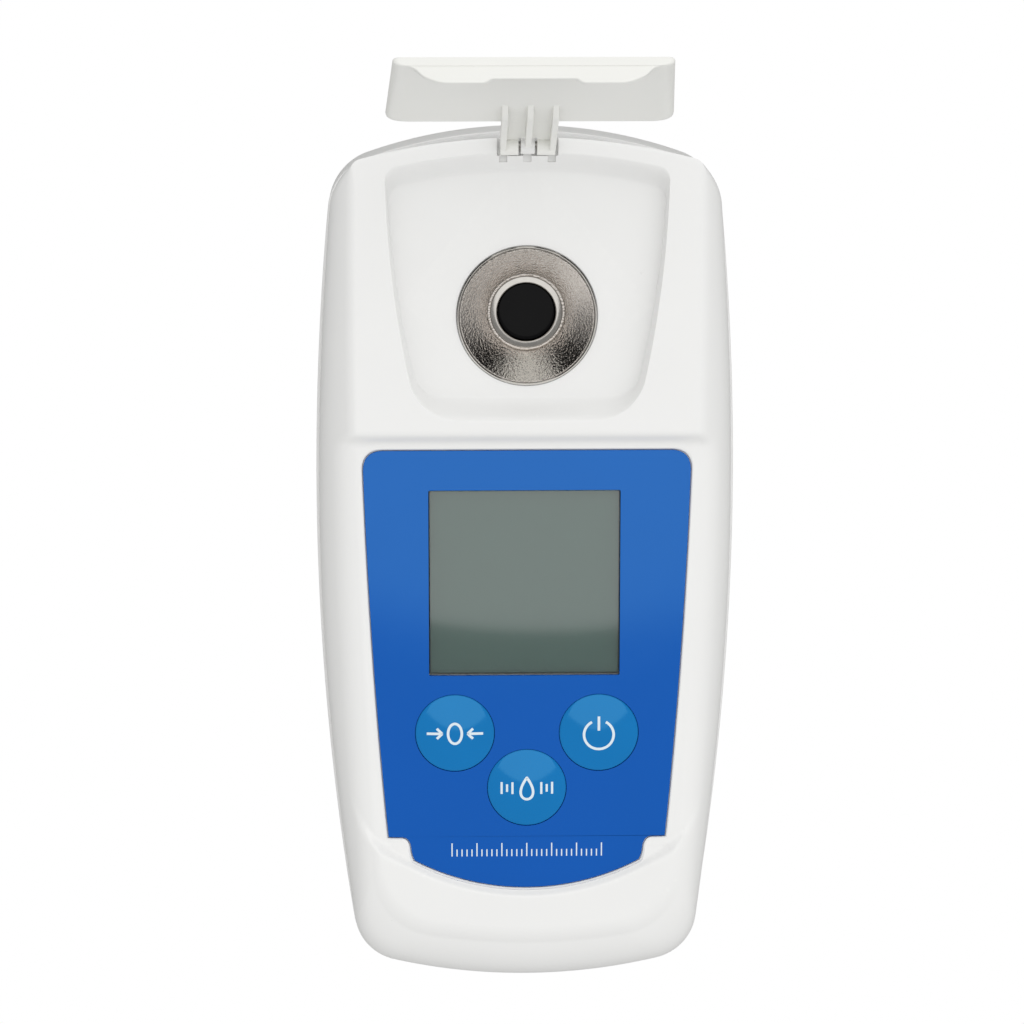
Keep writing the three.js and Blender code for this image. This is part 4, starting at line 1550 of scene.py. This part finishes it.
@dataclass
class Marks:
    """Printed strokes that follow a surface."""

    width: float = 0.36
    thickness: float = 0.02
    sunk: float = 0.05
    power_r: float = 2.05
    power_gap: Point2 = (118, 422)  # start and end of the broken ring, in degrees
    power_bar: Point2 = (0.35, 2.35)
    zero_half: Point2 = (0.95, 1.42)
    arrow_x: tuple[float, float, float] = (1.75, 2.5, 3.9)  # tip, barbs and tail
    arrow_barb: float = 0.72
    drop_half: Point2 = (1.12, 1.55)
    drop_bars: tuple[Point2, ...] = ((2.0, 0.85), (2.75, 0.55), (3.5, 0.85))  # place and half height
    bar_share: float = 0.85

    def stroke(self, path: np.ndarray, height: Height, width: float,
               closed: bool = False) -> tuple[np.ndarray, list[tuple[int, ...]]]:
        """One stroke of ink.

        Args:
            path: Points of its middle line.
            height: Gives the surface's height at plan points.
            width: Its width.
            closed: Whether the path is a loop.

        Returns:
            Corner points and faces.
        """
        ahead = np.roll(path, -1, axis=0) - path if closed else np.gradient(path, axis=0)
        if closed:
            ahead = ahead + (path - np.roll(path, 1, axis=0))
        ahead = ahead / np.linalg.norm(ahead, axis=1, keepdims=True)
        side = np.column_stack([-ahead[:, 1], ahead[:, 0]]) * width / 2
        count = len(path)
        corners = []
        top = self.thickness
        section = ((-1, -self.sunk), (1, -self.sunk), (1, top), (0, top), (-1, top))
        for shift, rise in section:
            plan = path + shift * side
            corners.append(np.column_stack([plan, height(plan) + rise]))
        around = len(corners)
        faces = []
        for i in range(count if closed else count - 1):
            j = (i + 1) % count
            for k in range(around):
                m = (k + 1) % around
                faces.append((k * count + i, k * count + j, m * count + j, m * count + i))
        if not closed:
            faces.append(tuple(k * count for k in range(around)))
            faces.append(tuple(k * count + count - 1 for k in reversed(range(around))))
        return np.concatenate(corners), faces

    def draw(self, name: str, paths: Sequence[Stroke], height: Height) -> Piece:
        """Makes one object of several strokes.

        Args:
            name: The object's name.
            paths: Middle lines, whether each is a loop, and each width.
            height: Gives the surface's height at plan points.

        Returns:
            The marks.
        """
        points: list[np.ndarray] = []
        faces: list[tuple[int, ...]] = []
        for path, closed, width in paths:
            start = sum(len(p) for p in points)
            corners, made = self.stroke(path, height, width, closed)
            points.append(corners)
            faces.extend(tuple(start + i for i in face) for face in made)
        return shade(tidy(mesh_object(name, np.concatenate(points), faces), 0.0002), 40)

    def line(self, start: Point2, end: Point2, count: int = 14) -> np.ndarray:
        """Straight middle line."""
        return np.linspace(start, end, count)

    def arc(self, centre: Point2, rx: float, ry: float, start: float, stop: float,
            count: int = 48) -> np.ndarray:
        """Arc of an ellipse between two angles in degrees."""
        turn = np.radians(np.linspace(start, stop, count))
        return np.column_stack([centre[0] + rx * np.cos(turn), centre[1] + ry * np.sin(turn)])

    def power(self) -> list[Stroke]:
        """Broken ring with an upright bar in its gap.

        Returns:
            The strokes.
        """
        ring = self.arc((0, -0.25), self.power_r, self.power_r, *self.power_gap)
        low, high = self.power_bar
        return [(ring, False, self.width), (self.line((0, low), (0, high)), False, self.width)]

    def set_zero(self) -> list[Stroke]:
        """Zero between two arrows that point at it.

        Returns:
            The strokes.
        """
        strokes = [(self.arc((0, 0), *self.zero_half, 0, 352.5), True, self.width)]
        tip_x, barb_x, tail_x = self.arrow_x
        for side in (-1, 1):
            tip = (side * tip_x, 0.0)
            strokes.append((self.line((side * tail_x, 0), tip), False, self.width))
            for rise in (-1, 1):
                barb = (side * barb_x, rise * self.arrow_barb)
                strokes.append((self.line(barb, tip), False, self.width))
        return strokes

    def drop(self) -> list[Stroke]:
        """Drop between upright bars.

        Returns:
            The strokes.
        """
        turn = np.linspace(0, 2 * math.pi, 64, endpoint=False)
        half_x, half_y = self.drop_half
        outline = np.column_stack([half_x * np.sin(turn) * np.sin(turn / 2), half_y * np.cos(turn) - 0.05])
        strokes = [(outline, True, self.width)]
        for side in (-1, 1):
            for x, reach in self.drop_bars:
                line = self.line((side * x, -reach), (side * x, reach))
                strokes.append((line, False, self.width * self.bar_share))
        return strokes

    def symbol(self, mark: Mark) -> list[Stroke]:
        """Strokes of a symbol about the key's middle."""
        return {Mark.SET_ZERO: self.set_zero, Mark.POWER: self.power, Mark.DROP: self.drop}[mark]()


@dataclass
class Panel:
    """Printed film with openings for keys and display, three domed keys, symbols and a fine scale."""

    marks: Marks = field(default_factory=Marks)
    key_r: float = 5.48
    flange_r: float = 6.15
    key_hole: float = 5.52
    dome: float = 0.36
    shoulder: float = 22.56
    flange_z: Point2 = (19.7, 20.4)
    scale_half: float = 10.4
    scale_y: float = -39.4
    scale_ticks: int = 31
    ticks_between_long: int = 5
    tick_reach: Point2 = (0.95, 0.5)  # half lengths of long and short ticks
    tick_width: float = 0.17

    def film(self) -> Piece:
        """The printed film.

        Returns:
            The film.
        """
        film = slab("overlay_fine", PANEL.points(), LEVELS.panel - 0.5, LEVELS.panel, 0.06)
        combine(film, Cut.REMOVE, window_block(0.08, 20, 24, 0.25))
        for mark in Mark:
            centre = node_centre(f"key_{mark.value}")[:2]
            combine(film, Cut.REMOVE, slab("hole", circle(self.key_hole, 128, centre), 20, 24))
        return shade(film, 12)

    def key_height(self, centre: np.ndarray) -> Height:
        """Surface of a key's dome.

        Args:
            centre: The key's middle.

        Returns:
            A function that gives the dome's height at plan points.
        """
        def height(plan: np.ndarray) -> np.ndarray:
            """Height at each plan point."""
            r = np.linalg.norm(plan - centre, axis=1)
            return self.shoulder + self.dome * (1 - np.minimum(r / self.key_r, 1.0) ** 2)

        return height

    def key(self, name: str) -> Piece:
        """One domed key with its hidden flange.

        Args:
            name: Which key.

        Returns:
            The key.
        """
        centre = node_centre(f"key_{name}")[:2]
        dome = [(r, self.shoulder + self.dome * (1 - (r / self.key_r) ** 2))
                for r in np.linspace(self.key_r - 0.18, 0, 16)]
        foot, top = self.flange_z
        profile = [(0, foot), (self.flange_r, foot), (self.flange_r, top), (self.key_r, top),
                   (self.key_r, self.shoulder - 0.16), (self.key_r - 0.05, self.shoulder - 0.05), *dome]
        return shade(turned(f"key_{name}_fine", profile, centre, 128), 28)

    def symbol(self, mark: Mark) -> Piece:
        """Ink of one key's symbol.

        Args:
            mark: The symbol.

        Returns:
            The ink.
        """
        centre = node_centre(f"key_{mark.value}")[:2]
        strokes = [(path + centre, closed, width) for path, closed, width in self.marks.symbol(mark)]
        return self.marks.draw(f"symbol_{mark.value}", strokes, self.key_height(centre))

    def scale(self) -> Piece:
        """Fine graduated line under the keys.

        Returns:
            The line.
        """
        ticks = []
        for i, x in enumerate(np.linspace(-self.scale_half, self.scale_half, self.scale_ticks)):
            reach = self.tick_reach[0 if i % self.ticks_between_long == 0 else 1]
            tick = self.marks.line((x, self.scale_y), (x, self.scale_y + 2 * reach), 2)
            ticks.append((tick, False, self.tick_width))
        return self.marks.draw("scale_marks", ticks, lambda plan: np.full(len(plan), LEVELS.panel))


# ---------------------------------------------------------------- small parts


@dataclass
class Hardware:
    """Case screws, the cell, and the clear window, in their fine form."""

    head_r: float = 2.2
    head_height: float = 1.8
    shank_r: float = 1.15
    thread_depth: float = 0.16
    thread_pitch: float = 0.3
    thread_rings: int = 37
    cross: Point2 = (1.25, 0.22)  # half length and half width of the cross recess
    cross_depth: float = 0.9
    pole_height: float = 1.2

    def screw(self, index: int) -> Piece:
        """Case screw with a cross recess in its head, which faces the back.

        Args:
            index: Its number.

        Returns:
            The screw.
        """
        low, high = node_box(f"case_screw_{index}")
        centre = node_centre(f"case_screw_{index}")[:2]
        z, neck = low[2], low[2] + self.head_height
        head = [(0, z), (1.5, z + 0.02), (1.95, z + 0.25), (self.head_r, z + 0.7), (self.head_r, neck)]
        thread = [(self.shank_r - self.thread_depth * (i % 2), neck + self.thread_pitch * i)
                  for i in range(1, self.thread_rings + 1)]
        profile = [*head, (self.shank_r, neck), *thread, (0, high[2])]
        screw = turned(f"case_screw_{index}_fine", profile, centre, 40)
        for half_x, half_y in (self.cross, self.cross[::-1]):
            x, y = (centre[0] - half_x, centre[0] + half_x), (centre[1] - half_y, centre[1] + half_y)
            combine(screw, Cut.REMOVE, block("slot", x, y, (z - 1, z + self.cross_depth), 0.06))
        return shade(screw, 30)

    def window(self) -> Piece:
        """Clear display window with polished round edges.

        Returns:
            The window.
        """
        low, high = node_box("display_window")
        corners = [(low[0], low[1]), (high[0], low[1]), (high[0], high[1]), (low[0], high[1])]
        return shade(slab("display_window_fine", round_corners(corners, 0.25, 4), low[2], high[2], 0.08), 30)

    def cell(self) -> Piece:
        """AAA cell with rolled ends and its raised pole.

        Returns:
            The cell.
        """
        low, high = node_box("battery")
        r = (high[0] - low[0]) / 2
        y0, y1, pole = low[1], high[1] - self.pole_height, high[1]
        profile = [(0, y0 + 0.3), (r - 1.6, y0 + 0.3), (r - 1.2, y0), (r - 0.5, y0), (r, y0 + 0.5),
                   (r, y1 - 0.5), (r - 0.5, y1), (r - 1.1, y1), (r - 1.4, y1 - 0.4), (2.0, y1 - 0.4),
                   (1.9, pole - 0.2), (1.7, pole), (0, pole)]
        cell = turned("battery_fine", profile, (0.0, 0.0), 72)
        z = (low[2] + high[2]) / 2
        cell.data.transform(Matrix.Translation((0, 0, z * MM)) @ Matrix.Rotation(-math.pi / 2, 4, "X"))
        cell.data.update()
        return shade(tidy(cell), 30)


# ---------------------------------------------------------------- studio


@dataclass
class Studio:
    """Pale floor, soft light and the camera over the instrument's face."""

    target: Point3 = (-2.0, 9.02, 20.0)
    lean: Point2 = (-0.022, 0.21)
    distance: float = 500.0
    view_width: float = 140.544  # width of the view at the target
    sensor: float = 36.0
    even: float = 0.92
    from_right: float = 0.08
    from_top: float = 0.14
    edge_y: float = -0.2373
    edge_x: float = 0.029
    edge_bend: float = 2.7
    far_side: float = 0.015
    near_side: float = 0.28
    window_edge: float = 0.8
    window_glow: float = 0.5
    ceiling_low: float = 0.25
    ceiling_high: float = 0.95
    floor_half: float = 3000.0
    floor_drop: float = 0.02
    floor_color: Color = (0.45, 0.45, 0.445)

    def camera(self) -> None:
        """Places the camera that looks down on the face."""
        data = bpy.data.cameras.new("camera")
        data.sensor_width = self.sensor
        data.lens = self.sensor * self.distance / self.view_width
        data.clip_start, data.clip_end = 0.01, 20.0
        camera = bpy.data.objects.new("camera", data)
        bpy.context.scene.collection.objects.link(camera)
        away = Vector((self.lean[0], self.lean[1], 1.0)).normalized()
        right = Vector((0.0, 1.0, 0.0)).cross(away).normalized()
        up = away.cross(right)
        turn = Matrix((right, up, away)).transposed().to_4x4()
        spot = (Vector(self.target) + away * self.distance) * MM
        camera.matrix_world = Matrix.Translation(spot) @ turn
        bpy.context.scene.camera = camera

    def floor(self) -> None:
        """Wide pale floor."""
        half = self.floor_half
        corners = np.array([(-half, -half), (half, -half), (half, half), (-half, half)])
        floor = mesh_object("floor", level(corners, -self.floor_drop), [(0, 1, 2, 3)])
        material = bpy.data.materials.new("pale_floor")
        material.use_nodes = True
        tree = material.node_tree
        tree.nodes.clear()
        nodes = Nodes(tree)
        path = nodes.add("ShaderNodeLightPath")
        cloth = nodes.add("ShaderNodeBsdfDiffuse", {"Color": (*self.floor_color, 1)})
        glow = nodes.add("ShaderNodeEmission", {"Color": (1, 1, 1, 1), "Strength": 1.0})
        both = nodes.blend(path.outputs["Is Camera Ray"], cloth, glow)
        nodes.add("ShaderNodeOutputMaterial", {"Surface": both.outputs[0]})
        floor.data.materials.append(material)

    def lamp(self, name: str, spot: Point3, aim: Point3, size: Point2, radiance: float) -> None:
        """Soft rectangular lamp.

        Args:
            name: The lamp's name.
            spot: Its place, in metres.
            aim: The point it faces.
            size: Its sides, in metres.
            radiance: How bright its surface is.
        """
        data = bpy.data.lights.new(name, "AREA")
        data.shape = "RECTANGLE"
        data.size, data.size_y = size
        data.energy = radiance * math.pi * size[0] * size[1]
        lamp = bpy.data.objects.new(name, data)
        bpy.context.scene.collection.objects.link(lamp)
        away = (Vector(spot) - Vector(aim)).normalized()
        lamp.matrix_world = Matrix.Translation(spot) @ away.to_track_quat("Z", "Y").to_matrix().to_4x4()
        lamp.visible_camera = lamp.visible_glossy = False

    def lit_window(self, nodes: Nodes, x: Socket, y: Socket) -> Socket:
        """Glow of a window at the near left, low over the horizon."""
        toward = nodes.math("MULTIPLY", nodes.math("ADD", x, y), -math.sqrt(0.5))
        return nodes.spread(toward, self.window_edge, 1.0, 0.0, self.window_glow)

    def room(self) -> None:
        """Even surroundings; mirrors see a bright ceiling, a dim far side and a brighter near side."""
        world = bpy.data.worlds.new("room")
        bpy.context.scene.world = world
        world.use_nodes = True
        tree = world.node_tree
        tree.nodes.clear()
        nodes = Nodes(tree)
        place = nodes.add("ShaderNodeSeparateXYZ", {0: nodes.add("ShaderNodeTexCoord").outputs["Generated"]})
        x, y, z = (place.outputs[axis] for axis in "XYZ")
        near = nodes.spread(y, 0.42, -0.35, self.far_side, self.near_side)
        aside = nodes.math("SUBTRACT", x, self.edge_x)
        bend = nodes.math("MULTIPLY", nodes.math("MULTIPLY", aside, aside), self.edge_bend)
        past = nodes.math("SUBTRACT", y, bend)
        start, end = self.edge_y - 0.001, self.edge_y + 0.001
        ceiling = nodes.spread(past, start, end, self.ceiling_low, self.ceiling_high)
        high = nodes.spread(z, 0.72, 0.9)
        glow = nodes.math("ADD", near, self.lit_window(nodes, x, y))
        lower = nodes.math("MULTIPLY", glow, nodes.math("SUBTRACT", 1.0, high))
        mirror = nodes.math("ADD", lower, nodes.math("MULTIPLY", ceiling, high))
        across, along = nodes.math("MULTIPLY", x, self.from_right), nodes.math("MULTIPLY", y, self.from_top)
        toward = nodes.math("ADD", across, along)
        side = nodes.math("MULTIPLY", nodes.math("ADD", toward, 1.0), self.even)
        path = nodes.add("ShaderNodeLightPath")
        gloss = nodes.add("ShaderNodeBackground", {"Color": (1, 0.99, 0.975, 1), "Strength": mirror})
        even = nodes.add("ShaderNodeBackground", {"Color": (1, 1, 0.995, 1), "Strength": side})
        seen = nodes.add("ShaderNodeBackground", {"Color": (1, 1, 1, 1), "Strength": 1.0})
        lit = nodes.blend(path.outputs["Is Glossy Ray"], even, gloss)
        final = nodes.blend(path.outputs["Is Camera Ray"], lit, seen)
        nodes.add("ShaderNodeOutputWorld", {"Surface": final.outputs[0]})

    def build(self) -> None:
        """Builds camera, floor, lamps and surroundings."""
        self.camera()
        self.floor()
        self.room()
        self.lamp("softbox", (0.35, 0.3, 1.0), (0.0, 0.0, 0.02), (1.2, 1.2), 0.35)
        bpy.context.scene.view_settings.view_transform = "Standard"


# ---------------------------------------------------------------- assembly


def main() -> None:
    """Builds the studio, the finishes and every fine piece in order."""
    Studio().build()
    well_centre = node_centre("sample_well")[:2]
    finishes = Finishes(tuple(well_centre))
    finishes.dress_frame()

    front = finishes.dress(FrontShell().build(), finishes.white)
    fit(front, Body.CASE, "case_white", "front_shell")
    back = BackShell()
    fit(finishes.dress(back.build(), finishes.white), Body.CASE, "case_white", "back_shell")
    fit(finishes.dress(back.build_door(), finishes.white), Body.DOOR, "case_white", "battery_door")
    # The cover wears the lightened copy of the white plastic, which is painted light.
    fit(finishes.dress(Cover().build(), finishes.cover), Body.COVER, "case_white", "flap")

    well = SampleWell()
    fit(finishes.dress(well.bowl(well_centre), finishes.cone), Body.CASE, "well_steel", "sample_well")
    fit(finishes.dress(well.rim(well_centre), finishes.bright), Body.CASE, "well_steel")
    fit(finishes.dress(well.ring(well_centre), finishes.bright), Body.CASE, "well_steel", "prism_ring")
    fit(finishes.dress(well.prism(well_centre), finishes.prism), Body.CASE, "prism_glass", "prism")

    panel = Panel()
    fit(finishes.dress(panel.film(), finishes.film), Body.CASE, "panel_blue", "overlay_panel")
    bodies = {Mark.SET_ZERO: Body.ZERO_KEY, Mark.POWER: Body.POWER_KEY, Mark.DROP: Body.MEASURE_KEY}
    for mark, body in bodies.items():
        fit(finishes.dress(panel.key(mark.value), finishes.key), body, "key_blue", f"key_{mark.value}")
        fit(finishes.dress(panel.symbol(mark), finishes.ink), body, "key_blue")
    fit(finishes.dress(panel.scale(), finishes.ink), Body.CASE, "panel_blue")

    hardware = Hardware()
    fit(finishes.dress(hardware.window(), finishes.window), Body.CASE, "window", "display_window")
    fit(finishes.dress(hardware.cell(), finishes.jacket), Body.CASE, "cell_jacket", "battery")
    for i in range(1, 5):
        fit(finishes.dress(hardware.screw(i), finishes.steel), Body.CASE, "bright_steel", f"case_screw_{i}")


if __name__ == "__main__":
    main()
